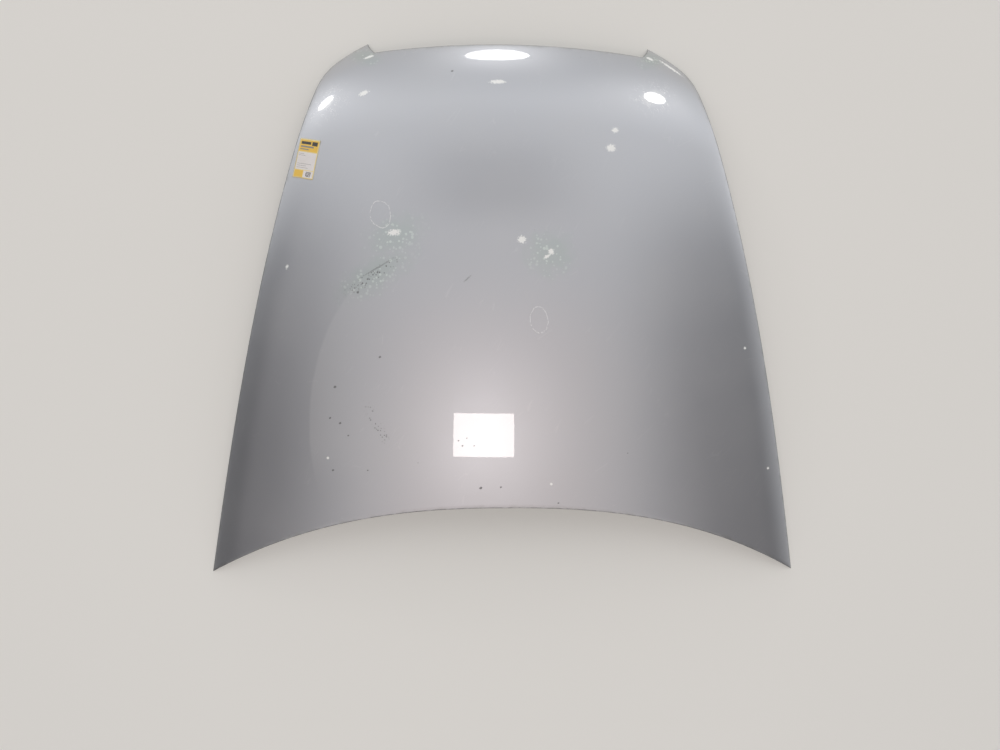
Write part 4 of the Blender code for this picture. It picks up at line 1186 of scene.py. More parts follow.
def dress(starts, slot, edge, segments=2):
    """Gives the carried-over CAD nodes whose names start so their finish and soft edges."""
    for name in CAD_NODES:
        if not name.startswith(starts):
            continue
        body = CAD_NODES[name]
        body.data.materials.clear()
        body.data.materials.append(finish(slot))
        weld = body.modifiers.new("Join", "WELD")
        weld.merge_threshold = CAD_MERGE
        soften(body, edge, segments)


# Settings that a user would change

class BonnetPaintSettings(bpy.types.PropertyGroup):
    colour: FloatVectorProperty(name="Colour", description="Colour of the metallic paint", subtype="COLOR",
                                size=3, min=0.0, max=1.0, default=(0.50, 0.51, 0.54))
    metallic: FloatProperty(name="Metallic", description="How metallic the paint is", subtype="FACTOR",
                            min=0.0, max=1.0, default=0.82)
    roughness: FloatProperty(name="Roughness", description="Spread of the flakes' glow under the clear coat",
                             subtype="FACTOR", min=0.0, max=1.0, default=0.40)
    dust: FloatProperty(name="Dust", description="Strength of the dust film on the paint", subtype="FACTOR",
                        min=0.0, max=1.0, default=0.12)


class BonnetMeshSettings(bpy.types.PropertyGroup):
    columns: IntProperty(name="Columns", description="Faces across the skin", min=40, max=300, default=164)
    rows: IntProperty(name="Rows", description="Faces from the skin's rear edge to its nose", min=40, max=300,
                      default=150)
    floor_pitch: FloatProperty(name="Floor pitch", description="Spacing of points on the inner frame's flats",
                               subtype="DISTANCE", unit="LENGTH", min=0.008, max=0.05, default=0.018)
    felt_pitch: FloatProperty(name="Felt pitch", description="Spacing of points on the felt pad",
                              subtype="DISTANCE", unit="LENGTH", min=0.004, max=0.02, default=0.006)


class BonnetStageSettings(bpy.types.PropertyGroup):
    floor_colour: FloatVectorProperty(name="Floor", description="Colour of the floor", subtype="COLOR",
                                      size=3, min=0.0, max=1.0, default=(0.66, 0.65, 0.62))
    floor_glow: FloatProperty(name="Floor glow", description="How far the floor is brightened for the camera",
                              subtype="FACTOR", min=0.0, max=1.0, default=0.26)
    background: FloatVectorProperty(name="Background", description="Colour past the floor's end",
                                    subtype="COLOR", size=3, min=0.0, max=1.0, default=(0.70, 0.69, 0.66))


# The skin

HORN_STEP_FACES = 12
FOLD_STEPS = 8


def skin_rings(settings):
    """The skin's rings from the hem's edge round the fold to the top, as (plan, depth, from the rim)."""
    sides = outline_sides(with_horn_steps=True)
    across = eased_shares(settings.columns, 0.55)
    along = eased_shares(settings.rows, 0.35)
    step = np.linspace(0, 1, HORN_STEP_FACES + 1)
    front = eased_shares(settings.columns - 2 * HORN_STEP_FACES, 0.2)
    shares = [across, along, step, front, step, along]
    sections = [(HEM_WIDTH, HEM_STACK)]
    for k in range(FOLD_STEPS + 1):
        turn = math.pi * (1 - k / FOLD_STEPS)
        sections.append((FOLD * (1 - math.sin(turn)), FOLD * (1 - math.cos(turn))))
    sections.append((HEM_WIDTH, 0.0))
    return [(moved_ring(sides, distance, shares), depth, distance) for distance, depth in sections]


def spread_grid(rear, right, front, left):
    """Plan places between four sides, each an array that runs left to right or rear to front."""
    u = (1 - arc_shares(right))[:, None] * arc_shares(rear) + arc_shares(right)[:, None] * arc_shares(front)
    v = arc_shares(left)[:, None] * (1 - u) + arc_shares(right)[:, None] * u
    u, v = u[..., None], v[..., None]
    grid = (1 - v) * rear[None] + v * front[None] + (1 - u) * left[:, None] + u * right[:, None]
    grid -= (1 - u) * ((1 - v) * rear[0] + v * front[0]) + u * ((1 - v) * rear[-1] + v * front[-1])
    return grid


def build_skin():
    """The painted pressing: a crowned sheet whose rim folds under the inner frame's flange."""
    rings = skin_rings(bpy.context.scene.bonnet_mesh)
    points = [raised(closed_ring(ring), depth) for ring, depth, _ in rings]
    count = len(points[0])
    from_rim = [np.full(count, distance) for _, _, distance in rings]
    faces = grid_faces(np.arange(len(rings) * count).reshape(len(rings), count), closed=True)

    top = rings[-1][0]
    rear, right, left = top[0], top[1], top[5][::-1]
    front = np.vstack((top[2][:-1], top[3][:-1], top[4]))[::-1]
    grid = spread_grid(rear, right, front, left)
    rows, columns = grid.shape[:2]
    index = np.full((rows, columns), -1)
    start = (len(rings) - 1) * count
    index[0, :] = start + np.arange(columns)
    index[:, -1] = start + columns - 1 + np.arange(rows)
    index[-1, ::-1] = start + columns - 1 + rows - 1 + np.arange(columns)
    index[::-1, 0] = start + (2 * (columns - 1) + rows - 1 + np.arange(rows)) % count
    index[0, 0] = start
    inner = index < 0
    index[inner] = len(rings) * count + np.arange(inner.sum())
    plan = grid[inner]
    points.append(raised(plan, 0.0))
    x, y = plan[:, 0], plan[:, 1]
    nearest = np.minimum.reduce((from_side(x, y), y - rear_edge(x), front_edge(x) - y))
    from_rim.append(nearest.clip(HEM_WIDTH))
    mesh = smooth_mesh("bonnet_skin", laid(np.vstack(points)), faces + grid_faces(index), 60)
    rim = mesh.attributes.new("from_rim", "FLOAT", "POINT")
    rim.data.foreach_set("value", np.concatenate(from_rim).astype(np.float32))
    skin = piece("bonnet_skin", mesh, "silver_paint", ["outer_skin"])
    mesh.materials.append(finish("coated_steel"))
    thicken(skin, SKIN_THICKNESS, back_material=1)


LABEL_COLUMNS = 20
LABEL_ROWS = 36
LIFT_STARTS = 0.86
CORNER_LIFT = 0.0016


def build_label():
    """The paper label: a thin sheet on the skin with one corner starting to lift."""
    x, y = np.meshgrid(np.linspace(-0.5, 0.5, LABEL_COLUMNS + 1), np.linspace(-0.5, 0.5, LABEL_ROWS + 1))
    turn = np.array(Matrix.Rotation(LABEL_TURN, 2))
    plan = (np.stack((x, y), axis=-1) * LABEL_SIZE @ turn.T + LABEL_PLACE).reshape(-1, 2)
    corner = ease((x + y - LIFT_STARTS) / (1 - LIFT_STARTS)).ravel()
    places = laid(raised(plan, -(GAP + LABEL_THICKNESS) - CORNER_LIFT * corner))
    mesh = smooth_mesh("label", places, grid_faces(np.arange(x.size).reshape(x.shape)), 60)
    layer = mesh.uv_layers.new(name="label")
    shares = np.stack((x.ravel() + 0.5, y.ravel() + 0.5), axis=-1)
    corners = np.array([loop.vertex_index for loop in mesh.loops])
    layer.uv.foreach_set("vector", shares[corners].astype(np.float32).ravel())
    thicken(piece("label", mesh, "paper", ["paper_label"]), LABEL_THICKNESS)


# The inner frame

WALL_STEPS = 7
WALL_PLACES = 640
WALL_SOFTENING = 26
FLANGE_FACES = (180, 170, 6, 110, 6, 170)
LIP_FLAT = LIP_WIDTH * 0.8
LIP_ROOT = LIP_WIDTH * 0.4


def wall_loop(distance):
    """The line this far inside the rim that the frame's wall follows behind the horns, with soft corners."""
    sides = outline_sides(with_horn_steps=False)
    whole = closed_ring(moved_ring(sides, distance, [np.linspace(0, 1, 301)] * 4))
    loop = resampled(np.vstack((whole, whole[:1])), np.linspace(0, 1, WALL_PLACES + 1))[:-1]
    for _ in range(WALL_SOFTENING):
        loop = (np.roll(loop, 1, axis=0) + 2 * loop + np.roll(loop, -1, axis=0)) / 4
    return loop


def on_seat(plan, x, y, matrix):
    return np.array([matrix @ Vector((*(place - (x, y)), 0)) for place in plan])


def seat_loops(x, y, half_x, half_y, matrix):
    """A seat's flat edge, then its wall down to the frame's floor, as (plan, places)."""
    corners = box_corners(x, y, half_x, half_y)
    loops = []
    for k in range(WALL_STEPS):
        share = k / (WALL_STEPS - 1)
        plan = rounded(corners, SEAT_RADIUS, PAD_WALL * share, 5, 0.008)
        flat = on_seat(plan, x, y, matrix)
        floor = raised(plan, RIB_DEPTH)
        loops.append((plan, flat + (floor - flat) * ease(share)))
    return loops


def frame_holes(found):
    """Round holes in the frame for bolts, buffers, bush and clips: plan places, as (plan, places)."""
    on_seats = [("stay_bush", STAY_HOLE, 0.0, 0.0)]
    for side, sign in SIDES:
        on_seats += [("latch", BOLT_HOLE, sign * LATCH_BOLT_SPACING / 2, 0.0),
                     ("hinge_" + side, BOLT_HOLE, 0.0, -HINGE_BOLT_SPACING / 2),
                     ("hinge_" + side, BOLT_HOLE, 0.0, HINGE_BOLT_SPACING / 2),
                     ("rubber_buffer_" + side, BUFFER_HOLE, 0.0, 0.0)]
    holes = []
    for name, radius, aside, ahead in on_seats:
        x, y, _, _, matrix = found[name]
        plan = circle(x + aside, y + ahead, radius, 28)
        holes.append((plan, on_seat(plan, x, y, matrix)))
    for x, y in clip_places():
        plan = circle(x, y, CLIP_HOLE, 20)
        holes.append((plan, raised(plan, RIB_DEPTH)))
    return holes


def build_inner_frame():
    """The pressed carrier: hem flange, rim wall, ribs at one depth, lips round the openings, flat seats."""
    pitch = bpy.context.scene.bonnet_mesh.floor_pitch
    sides = outline_sides(with_horn_steps=True)
    shares = [np.linspace(0, 1, count + 1) for count in FLANGE_FACES]
    loops = []
    for distance in (FOLD + SKIN_THICKNESS, HEM_WIDTH):
        plan = closed_ring(moved_ring(sides, distance, shares))
        loops.append((plan, raised(plan, FLANGE_DEPTH)))
    for k in range(WALL_STEPS + 2):
        share = k / (WALL_STEPS + 1)
        plan = wall_loop(RIM_WALL_TOP + (RIM_WALL_FOOT - RIM_WALL_TOP) * share)
        loops.append((plan, raised(plan, FLANGE_DEPTH + (RIB_DEPTH - FLANGE_DEPTH) * ease(share))))
    floor_edge = plan
    holes = []
    taken = []
    for corners in openings().values():
        for k in range(WALL_STEPS + 1):
            share = k / WALL_STEPS
            plan = rounded(corners, OPENING_RADIUS, LIP_FLAT + (WALL_RUN + LIP_ROOT) * share)
            loops.append((plan, raised(plan, LIP_DEPTH + (RIB_DEPTH - LIP_DEPTH) * ease(share))))
        taken.append(rounded(corners, OPENING_RADIUS, LIP_FLAT + LIP_ROOT + WALL_RUN + pitch * 0.5))
        for outset, target in ((LIP_ROOT, loops), (0.0, holes)):
            plan = rounded(corners, OPENING_RADIUS, outset)
            target.append((plan, raised(plan, LIP_DEPTH)))
    found = seats()
    for x, y, half_x, half_y, matrix in found.values():
        loops += seat_loops(x, y, half_x, half_y, matrix)
        taken.append(rounded(box_corners(x, y, half_x, half_y), SEAT_RADIUS, PAD_WALL + pitch * 0.4))
    holes += frame_holes(found)
    for x, y in clip_places():
        taken.append(circle(x, y, CLIP_HOLE + pitch * 0.4, 32))
    grid = square_grid((-REAR_HALF_WIDTH, -REAR_SWEEP), (REAR_HALF_WIDTH, FRONT_Y), pitch)
    middle = floor_edge.mean(axis=0)
    free = inside(grid, middle + (floor_edge - middle) * 0.985)
    for area in taken:
        free &= ~inside(grid, area)
    loose = grid[free]
    faces = triangulated([plan for plan, _ in loops], [plan for plan, _ in holes], loose)
    places = np.vstack([*(item for _, item in loops + holes), raised(loose, RIB_DEPTH)])
    mesh = smooth_mesh("pressed_frame", laid(places), faces, 50)
    body = piece("pressed_frame", mesh, "coated_steel", ["inner_frame"])
    thicken(body, FRAME_THICKNESS)
    shading = body.modifiers.new("Flats", "WEIGHTED_NORMAL")
    shading.keep_sharp = True


# Felt pad, clips and seal

QUILT_PITCH = 0.066
QUILT_GROOVE = 0.0042
GROOVE_HALF_WIDTH = 0.011
GROOVES_FADE = (0.012, 0.010)
FELT_EDGE = 0.0024
BORDER_RISE = (0.009, 0.016)
FELT_RIPPLE = 0.00035
CLIP_PRESS = (0.0125, 0.009)


def felt_thickness(plan):
    """Thickness of the pressed felt: thin at its border, grooved along the quilting, full at the clips."""
    corners = felt_corners()
    x, y = plan[:, 0], plan[:, 1]
    low, high = corners[0][1], corners[2][1]
    half = np.interp(y, (low, high), (corners[1][0], corners[2][0]))
    from_border = np.minimum(half - np.abs(x), np.minimum(y - low, high - y))
    body = FELT_EDGE + (FELT_THICKNESS - FELT_EDGE) * rise(from_border, *BORDER_RISE)
    for sign in (-1, 1):
        stripe = (x + sign * (y - (low + high) / 2)) / math.sqrt(2) / QUILT_PITCH
        away = np.abs(stripe - np.round(stripe)) * QUILT_PITCH
        body -= QUILT_GROOVE * (1 - ease(away / GROOVE_HALF_WIDTH)) * rise(from_border, *GROOVES_FADE)
    body = np.maximum(body, FELT_EDGE)
    body += FELT_RIPPLE * np.sin(x * 71 + 2 * np.sin(y * 37)) * np.sin(y * 83 + 1.3)
    for clip_x, clip_y in clip_places():
        near = 1 - rise(np.hypot(x - clip_x, y - clip_y), *CLIP_PRESS)
        body += (FELT_THICKNESS - body) * near
    return np.minimum(body, FELT_THICKNESS)


def build_felt():
    """The felt pad: one pressed mat with a thin border and a quilted face, closed top and bottom."""
    pitch = bpy.context.scene.bonnet_mesh.felt_pitch
    corners = felt_corners()
    border = rounded(corners, FELT_RADIUS, 0.0, 14, pitch)
    inner = rounded(corners, FELT_RADIUS - pitch, -pitch, 14, pitch)
    grid = square_grid(corners[0], (corners[1][0], corners[2][1]), pitch)
    free = inside(grid, rounded(corners, FELT_RADIUS - pitch, -1.6 * pitch, 14, pitch))
    holes = []
    for x, y in clip_places():
        holes.append(circle(x, y, CLIP_HOLE, 16))
        free &= np.hypot(grid[:, 0] - x, grid[:, 1] - y) > CLIP_HOLE + pitch * 0.6
    plan = np.vstack([border, inner] + holes + [grid[free]])
    faces = triangulated([border, inner], holes, grid[free])
    top = RIB_DEPTH + FRAME_THICKNESS + FELT_CLEARANCE
    upper = raised(plan, top)
    lower = raised(plan, top + felt_thickness(plan))
    count = len(plan)
    below = faces[:, ::-1] + count
    ring = np.arange(len(border))
    walls = grid_faces(np.stack((ring, ring + count))[:, ::-1], closed=True)
    first = len(border) + len(inner)
    for hole in holes:
        ring = first + np.arange(len(hole))
        walls += grid_faces(np.stack((ring, ring + count)), closed=True)
        first += len(hole)
    mesh = smooth_mesh("felt_pad", laid(np.vstack((upper, lower))), [*faces, *below, *walls], 60)
    pad = piece("felt_pad", mesh, "black_felt", ["insulation_pad"])


def barb_profile(stem, length):
    """The barbed end of a push fastener, from its tip to its root."""
    widest = stem + BARB_REACH
    root = BARB_CLEARANCE
    return [(0, length), (stem / 2, length), (widest, length / 3), (widest, root), (stem, root)]


CLIP_ROUNDING = (0, 0.0004, 0.0002, 0.0002, 0, 0.0002, 0.0003, 0.0004, 0.0004, 0.0002, 0.0002)


def build_clips():
    """The eight push clips that hold the felt: a thin domed head and a barbed stem."""
    face = -FRAME_THICKNESS - FELT_CLEARANCE - FELT_THICKNESS - CLIP_CLEARANCE
    rim, shoulder, dome, dimple = (face - drop for drop in (0.0009, 0.0016, CLIP_DOME, 0.0012))
    head = [(CLIP_STEM, face), (CLIP_HEAD, face), (CLIP_HEAD, rim), (CLIP_HEAD * 0.72, shoulder),
            (0.0042, dome), (0.0034, dome), (0.0028, dimple), (0, dimple)]
    profile = eased_profile(barb_profile(CLIP_STEM, CLIP_BARB) + head, CLIP_ROUNDING, 3)
    mesh = turned_mesh("push_clip", profile, 36)
    for k, (x, y) in enumerate(clip_places(), 1):
        piece(f"push_clip_{k}", mesh, "black_plastic", [f"pad_clip_{k}"], LAID @ seat(x, y, RIB_DEPTH))


SEAL_STATIONS = 91
SEAL_CORNER = 0.001


def build_seal():
    """The bulb seal stuck under the inner frame behind the front edge."""
    depth = RIB_DEPTH + FRAME_THICKNESS + SEAL_STANDOFF
    foot = -SEAL_FOOT_HEIGHT
    section = [(-SEAL_FOOT, 0), (-SEAL_FOOT, foot * 0.5), (-SEAL_FOOT + SEAL_CORNER, foot)]
    for turn in np.linspace(0, math.pi, 17):
        section.append((-SEAL_RADIUS * math.cos(turn), foot - SEAL_BULB * math.sin(turn)))
    section += [(SEAL_FOOT - SEAL_CORNER, foot), (SEAL_FOOT, foot * 0.5), (SEAL_FOOT, 0)]
    points = []
    for x in np.linspace(-SEAL_HALF_LENGTH, SEAL_HALF_LENGTH, SEAL_STATIONS):
        matrix = LAID @ seat(x, float(front_edge(x)) - SEAL_SETBACK, depth)
        points += [matrix @ Vector((0, along, up)) for along, up in section]
    index = np.arange(len(points)).reshape(SEAL_STATIONS, len(section))
    faces = [*grid_faces(index, closed=True), index[0, ::-1], index[-1]]
    mesh = smooth_mesh("bulb_seal", points, faces, 50)
    piece("bulb_seal", mesh, "black_rubber", ["front_seal"])


RIB_PITCH = 0.004
RIBS_FROM_FACE = 0.007
RIBS_FROM_TIP = 0.005
CONE_HEIGHT = 0.003


def build_buffers():
    """The two rubber buffers, ribbed round their waist."""
    face = -FRAME_THICKNESS - GAP
    tip = face - BUFFER_HEIGHT
    stem = BUFFER_HOLE - GAP
    ridge = 0.97 * (BUFFER_RADIUS + BUFFER_WAIST) / 2
    low = face - RIBS_FROM_FACE
    points = [*barb_profile(stem, BUFFER_BARB), (stem, face), (BUFFER_RADIUS, face),
              (BUFFER_RADIUS, face - BUFFER_FLANGE), (BUFFER_WAIST, low)]
    while low - RIB_PITCH > tip + RIBS_FROM_TIP:
        points += [(radius, low - RIB_PITCH * share)
                   for radius, share in ((BUFFER_WAIST, 0.25), (ridge, 0.5), (BUFFER_WAIST, 0.75))]
        low -= RIB_PITCH
    points += [(BUFFER_WAIST, tip + CONE_HEIGHT), (BUFFER_TIP, tip), (0, tip)]
    mesh = turned_mesh("buffer", eased_profile(points, [0.0005] * (len(points) - 2), 3), 48)
    for side in ("left", "right"):
        name = "rubber_buffer_" + side
        piece("buffer_" + side, mesh, "black_rubber", [name], laid_seat(name))


def build_bush():
    """The plastic bush that takes the stay rod's end."""
    face = -FRAME_THICKNESS - GAP
    low = face - STAY_FLANGE_HEIGHT
    wall = STAY_HOLE - GAP
    barb = wall + 0.001
    flange = STAY_HOLE + STAY_FLANGE
    chamfer = 0.0006
    profile = [(STAY_BORE, STAY_BARB - chamfer), (STAY_BORE + chamfer, STAY_BARB),
               (wall + chamfer, STAY_BARB), (barb, STAY_BARB - chamfer), (barb, BARB_CLEARANCE),
               (wall, BARB_CLEARANCE), (wall, face), (flange - 0.0003, face), (flange, face - 0.0005),
               (flange - chamfer, low + 0.0004),
               (flange - 2 * chamfer, low), (STAY_BORE + 0.002, low), (STAY_BORE + 0.0008, low + 0.0004),
               (STAY_BORE, low + 0.0015)]
    mesh = turned_mesh("rod_bush", profile, 56, ring=True)
    piece("rod_bush", mesh, "black_plastic", ["stay_bush"], laid_seat("stay_bush"))


# Latch fittings

# How far under the latch seat the striker's loop, hook and bolts start
LATCH_FOOT = -FRAME_THICKNESS - GAP - LATCH_PLATE_THICKNESS - GAP
WIRE_STRAIGHT = 0.012
HOOK_EDGE = 0.0006
THREAD_CHAMFER = 0.0008
HEAD_CHAMFER = 0.0006
HEAD_SINK = 0.0003


def build_striker():
    """The striker's round wire loop and the fixed safety hook behind it."""
    matrix = laid_seat("latch")
    foot = LATCH_FOOT
    half = STRIKER_WIDTH / 2
    run = [(-half, 0, foot), (-half, 0, foot - WIRE_STRAIGHT)]
    for turn in np.linspace(math.pi, 2 * math.pi, 33):
        run.append((half * math.cos(turn), 0, foot - STRIKER_DROP + half + half * math.sin(turn)))
    run += [(half, 0, foot - WIRE_STRAIGHT), (half, 0, foot)]
    curve = bpy.data.curves.new("striker_wire", "CURVE")
    curve.dimensions = "3D"
    curve.bevel_depth = STRIKER_WIRE / 2
    curve.bevel_resolution = 8
    curve.use_fill_caps = True
    spline = curve.splines.new("POLY")
    spline.points.add(len(run) - 1)
    for target, point in zip(spline.points, run):
        target.co = (*point, 1)
    spline.use_smooth = True
    piece("striker_wire", curve, "zinc_plated_steel", ["striker_loop"], matrix)

    back = LATCH_PLATE_Y - HOOK_INSET
    low = foot - HOOK_DROP
    points = [(back - HOOK_FOOT, foot), (back + HOOK_BEND, foot), (back + HOOK_BEND, low),
              (back - HOOK_TIP, low), (back - HOOK_TIP, low + HOOK_BEND)]
    profile = eased_profile(points, [HOOK_BEND, HOOK_BEND, HOOK_BEND * 0.9], 8)
    places = [(share * HOOK_WIDTH, y, z) for share in (-0.5, -0.42, 0.42, 0.5) for y, z in profile]
    index = np.arange(len(places)).reshape(-1, len(profile))
    mesh = smooth_mesh("hook_strip", places, grid_faces(index.T), 50)
    hook = piece("hook_strip", mesh, "zinc_plated_steel", ["safety_hook"], matrix)
    thicken(hook, HOOK_THICKNESS)
    soften(hook, HOOK_EDGE, angle=50)


def build_striker_bolts():
    """The two hexagon flange bolts that hold the striker's plate."""
    flange = LATCH_FOOT - BOLT_FLANGE_HEIGHT
    top = LATCH_FOOT - BOLT_HEAD_HEIGHT
    shank = BOLT / 2
    rim = BOLT_FLANGE / 2
    sunk = flange - HEAD_SINK
    mesh = turned_mesh("flange_bolt", [
        (0, BOLT_END), (shank - THREAD_CHAMFER, BOLT_END), (shank, BOLT_END - THREAD_CHAMFER),
        (shank, LATCH_FOOT), (rim, LATCH_FOOT), (rim, flange + 0.0004), (BOLT_HEAD / 2, sunk), (0, sunk)], 48)
    shape = bmesh.new()
    shape.from_mesh(mesh)
    made = bmesh.ops.create_cone(shape, cap_ends=True, segments=6, radius1=BOLT_HEAD / math.sqrt(3),
                                 radius2=BOLT_HEAD / math.sqrt(3), depth=flange - top,
                                 matrix=Matrix.Translation((0, 0, (flange + top) / 2)))
    edges = list({edge for vert in made["verts"] for edge in vert.link_edges})
    bmesh.ops.bevel(shape, geom=edges, offset=HEAD_CHAMFER, segments=2, affect="EDGES", profile=0.6)
    smooth_shape(shape, mesh, 30)
    for side, sign in SIDES:
        matrix = laid_seat("latch") @ Matrix.Translation((sign * LATCH_BOLT_SPACING / 2, 0, 0))
        piece("flange_bolt_" + side, mesh, "zinc_plated_steel", ["striker_bolt_" + side], matrix)


# Stage: floor, lamps, world and camera

CAMERA_AT = (-0.0796, -0.0728, 1.8832)
CAMERA_LOOK = (0.0332, -0.0442, -0.9985)
CAMERA_UP = (-0.0036, 0.9990, -0.0440)
PICTURE_WIDTH = 1000
FOCAL_PIXELS = 754
SENSOR = 36.0


def mirrored(x, y):
    """The direction that the camera sees mirrored in the paint at a plan place, and that place."""
    point = Vector(laid(raised((x, y), 0)))
    out = (LAID.to_3x3() @ Vector(normals(x, y))).normalized()
    sight = (point - Vector(CAMERA_AT)).normalized()
    return sight - 2 * sight.dot(out) * out, point


# Each lamp: name, plan place where the paint mirrors it, distance, sizes, radiance, shape, colour
WARM_WHITE = (1.0, 0.93, 0.90)
WHITE = (1.0, 0.99, 0.98)
LAMPS = (("window_lamp", (-0.0585, 0.174), 2.4, 0.580, 0.345, 6.3, "RECTANGLE", WARM_WHITE),
         ("nose_lamp", (-0.030, 1.064), 3.0, 0.70, 0.56, 6.5, "ELLIPSE", WHITE),
         ("left_lamp", (-0.431, 0.947), 3.0, 0.52, 0.44, 8.0, "ELLIPSE", WHITE),
         ("right_lamp", (0.341, 0.966), 3.0, 0.25, 0.50, 9.0, "ELLIPSE", WHITE))


def build_lamps():
    """Soft lamps, each where the paint mirrors it to the camera."""
    for name, place, distance, across, along, radiance, shape, colour in LAMPS:
        direction, point = mirrored(*place)
        data = bpy.data.lights.new(name, "AREA")
        data.shape = shape
        data.size = across
        data.size_y = along
        area = across * along * (1 if shape == "RECTANGLE" else math.pi / 4)
        data.energy = radiance * math.pi * area
        data.color = colour
        in_scene(name, data, facing(direction, point + direction * distance))


OVERHEAD_LIGHT = 0.85
FRONT_LIGHT = 1.11
LOW_FRONT_LIGHT = 0.62
GAP_SHADE = 0.92
GAP_MIDDLE = 0.333
LEFT_WALL_LIGHT = 0.15
RIGHT_WALL_LIGHT = 0.60

# Bounds over which each light fades, on the X or Y of the room's direction
OVERHEAD_ASIDE = (0.33, 0.62)
FRONT_AHEAD = (0.137, 0.411)
LOW_FRONT_AHEAD = (0.62, 0.95)
GAP_AHEAD = (0.02, 0.128)
GAP_ASIDE = (0.05, 0.364)
LEFT_WALL = (-0.98, -0.75)
RIGHT_WALL = (0.75, 0.98)
WARM_ASIDE = (0.15, 0.50)
WARM_AHEAD = (-0.05, 0.15)
COOL_TINT = (0.985, 0.995, 1.01)
WARM_TINT = (1.09, 0.955, 0.905)


def build_world():
    """A room's plain light: pale over the middle and the front, dimmer at the sides."""
    world = bpy.data.worlds.new("room")
    bpy.context.scene.world = world
    world.use_nodes = True
    nodes = Nodes(world.node_tree)
    x, y, _ = nodes.parts(nodes.new("ShaderNodeTexCoord").outputs["Generated"])
    aside = nodes.math("ABSOLUTE", x)
    front = nodes.ease(y, *FRONT_AHEAD)
    overhead = nodes.times(nodes.fade(aside, *OVERHEAD_ASIDE), nodes.less(1.0, front), OVERHEAD_LIGHT)
    ahead = nodes.times(nodes.ease(y, *LOW_FRONT_AHEAD, FRONT_LIGHT, LOW_FRONT_LIGHT), front)
    from_gap = nodes.math("ABSOLUTE", nodes.less(y, GAP_MIDDLE))
    gap = nodes.times(nodes.fade(from_gap, *GAP_AHEAD), nodes.fade(aside, *GAP_ASIDE), GAP_SHADE)
    left_wall = nodes.times(nodes.fade(x, *LEFT_WALL), LEFT_WALL_LIGHT)
    right_wall = nodes.times(nodes.ease(x, *RIGHT_WALL), RIGHT_WALL_LIGHT)
    level = nodes.plus(nodes.less(nodes.plus(overhead, ahead), gap), left_wall, right_wall)
    warm = nodes.times(nodes.fade(aside, *WARM_ASIDE), nodes.fade(y, *WARM_AHEAD))
    tint = nodes.scaled(nodes.mix(warm, COOL_TINT, WARM_TINT), level)
    pale = tuple(bpy.context.scene.bonnet_stage.background)
    seen = nodes.new("ShaderNodeLightPath").outputs["Is Camera Ray"]
    nodes.feed(world.node_tree.nodes["Background"].inputs["Color"], nodes.mix(seen, tint, pale))


FLOOR_HALF = 14.0
FLOOR_GAP = 0.0005


def build_floor():
    """A pale floor just under the rim, brightened for the camera and for mirrors, which keeps its shadow."""
    settings = bpy.context.scene.bonnet_stage
    mesh = bpy.data.meshes.new("studio_floor")
    corners = [(x, y, -FLOOR_GAP) for x, y in box_corners(0, 0, FLOOR_HALF, FLOOR_HALF)]
    mesh.from_pydata(corners, [], [(0, 1, 2, 3)])
    colour = tuple(settings.floor_colour)
    pale = Finish("pale_floor", 0.9)
    pale.shader["Specular IOR Level"].default_value = 0.1
    pale.shader["Emission Strength"].default_value = settings.floor_glow
    pale.set("Base Color", pale.mix(pale.times(pale.clouds(1.2), 0.06), colour, (0.5, 0.5, 0.5)))
    path = pale.new("ShaderNodeLightPath").outputs
    seen = pale.most(path["Is Camera Ray"], path["Is Glossy Ray"], path["Is Transmission Ray"])
    pale.set("Emission Color", pale.mix(seen, (0.0, 0.0, 0.0), colour))
    mesh.materials.append(pale.material)
    in_scene("studio_floor", mesh)


def build_camera():
    """The camera, at the photograph's angle and distance over the laid bonnet."""
    data = bpy.data.cameras.new("camera")
    data.sensor_width = SENSOR
    data.lens = FOCAL_PIXELS * SENSOR / PICTURE_WIDTH
    look = Vector(CAMERA_LOOK).normalized()
    matrix = facing(-look, CAMERA_AT, look.cross(Vector(CAMERA_UP)).normalized())
    bpy.context.scene.camera = in_scene("camera", data, matrix)


# Operators, one for each piece or group of like pieces

class BonnetOperator:
    bl_options = {"REGISTER", "UNDO"}


class MESH_OT_bonnet_skin(BonnetOperator, bpy.types.Operator):
    """Build the painted skin with its hemmed rim"""
    bl_idname = "mesh.bonnet_skin"
    bl_label = "Skin"

    def execute(self, context):
        build_skin()
        return {"FINISHED"}


class MESH_OT_bonnet_label(BonnetOperator, bpy.types.Operator):
    """Build the paper label on the skin"""
    bl_idname = "mesh.bonnet_label"
    bl_label = "Label"

    def execute(self, context):
        build_label()
        return {"FINISHED"}


class MESH_OT_bonnet_frame(BonnetOperator, bpy.types.Operator):
    """Build the pressed inner frame and finish the mastic dabs on its lips"""
    bl_idname = "mesh.bonnet_frame"
    bl_label = "Inner Frame"

    def execute(self, context):
        build_inner_frame()
        dress("mastic_", "mastic", 0.0009, segments=3)
        return {"FINISHED"}


class MESH_OT_bonnet_felt(BonnetOperator, bpy.types.Operator):
    """Build the quilted felt pad and its push clips"""
    bl_idname = "mesh.bonnet_felt"
    bl_label = "Felt and Clips"

    def execute(self, context):
        build_felt()
        build_clips()
        return {"FINISHED"}


class MESH_OT_bonnet_rubber(BonnetOperator, bpy.types.Operator):
    """Build the bulb seal, the buffers and the stay rod's bush"""
    bl_idname = "mesh.bonnet_rubber"
    bl_label = "Seal, Buffers and Bush"

    def execute(self, context):
        build_seal()
        build_buffers()
        build_bush()
        return {"FINISHED"}


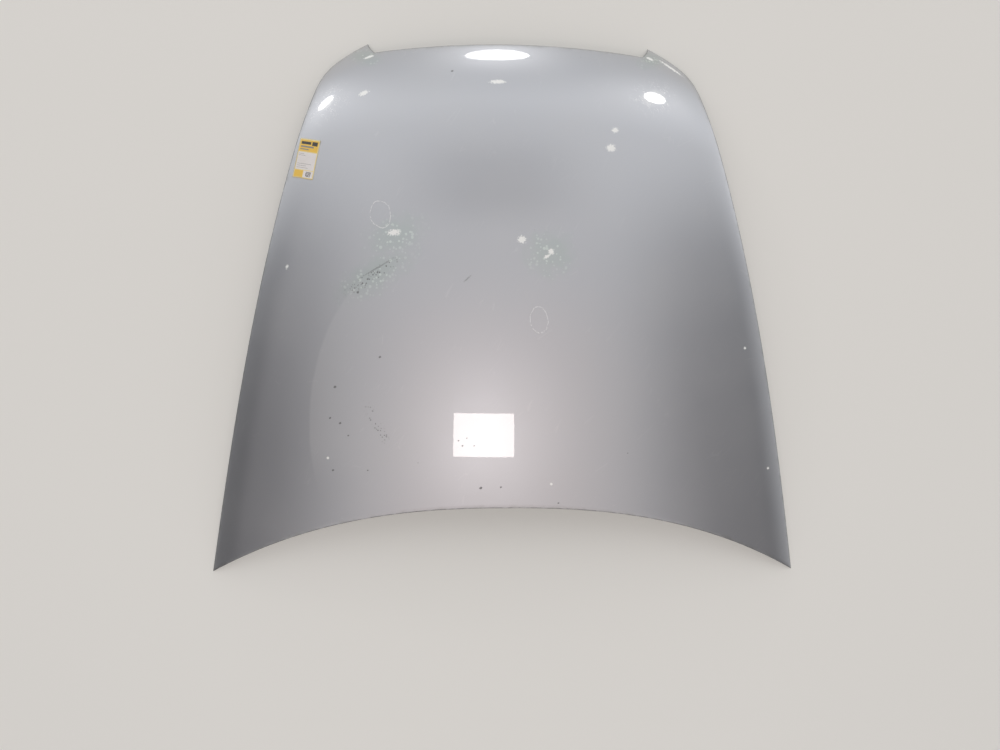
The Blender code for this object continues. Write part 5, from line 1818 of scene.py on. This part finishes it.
class MESH_OT_bonnet_latch(BonnetOperator, bpy.types.Operator):
    """Build the striker, the safety hook and their bolts, and finish the plates and weld nuts"""
    bl_idname = "mesh.bonnet_latch"
    bl_label = "Latch and Hinge Seats"

    def execute(self, context):
        build_striker()
        build_striker_bolts()
        dress("striker_plate", "zinc_plated_steel", 0.0005)
        dress(("latch_reinforcement", "hinge_reinforcement"), "bare_steel", 0.0004)
        dress(("latch_weld_nut", "hinge_weld_nut"), "bare_steel", 0.0005)
        return {"FINISHED"}


class SCENE_OT_bonnet_stage(BonnetOperator, bpy.types.Operator):
    """Set the floor, the lamps, the room's light and the camera"""
    bl_idname = "scene.bonnet_stage"
    bl_label = "Stage"

    def execute(self, context):
        build_floor()
        build_lamps()
        build_world()
        build_camera()
        context.scene.view_settings.view_transform = "Standard"
        return {"FINISHED"}


class VIEW3D_PT_bonnet(bpy.types.Panel):
    """Buttons and settings for the bonnet"""
    bl_idname = "VIEW3D_PT_bonnet"
    bl_label = "Car Bonnet"
    bl_space_type = "VIEW_3D"
    bl_region_type = "UI"
    bl_category = "Bonnet"

    def draw(self, context):
        column = self.layout.column(align=True)
        for name in STEPS:
            column.operator(name)
        for settings in (context.scene.bonnet_paint, context.scene.bonnet_mesh, context.scene.bonnet_stage):
            box = self.layout.box()
            for name in settings.__annotations__:
                box.prop(settings, name)


STEPS = ("mesh.bonnet_skin", "mesh.bonnet_label", "mesh.bonnet_frame", "mesh.bonnet_felt",
         "mesh.bonnet_rubber", "mesh.bonnet_latch", "scene.bonnet_stage")
CLASSES = (BonnetPaintSettings, BonnetMeshSettings, BonnetStageSettings, MESH_OT_bonnet_skin,
           MESH_OT_bonnet_label, MESH_OT_bonnet_frame, MESH_OT_bonnet_felt, MESH_OT_bonnet_rubber,
           MESH_OT_bonnet_latch, SCENE_OT_bonnet_stage, VIEW3D_PT_bonnet)


def register():
    for item in CLASSES:
        bpy.utils.register_class(item)
    bpy.types.Scene.bonnet_paint = PointerProperty(type=BonnetPaintSettings)
    bpy.types.Scene.bonnet_mesh = PointerProperty(type=BonnetMeshSettings)
    bpy.types.Scene.bonnet_stage = PointerProperty(type=BonnetStageSettings)


def unregister():
    del bpy.types.Scene.bonnet_stage
    del bpy.types.Scene.bonnet_mesh
    del bpy.types.Scene.bonnet_paint
    for item in reversed(CLASSES):
        bpy.utils.unregister_class(item)


def main():
    register()
    for name in STEPS:
        category, step = name.split(".")
        getattr(getattr(bpy.ops, category), step)()


if __name__ == "__main__":
    main()
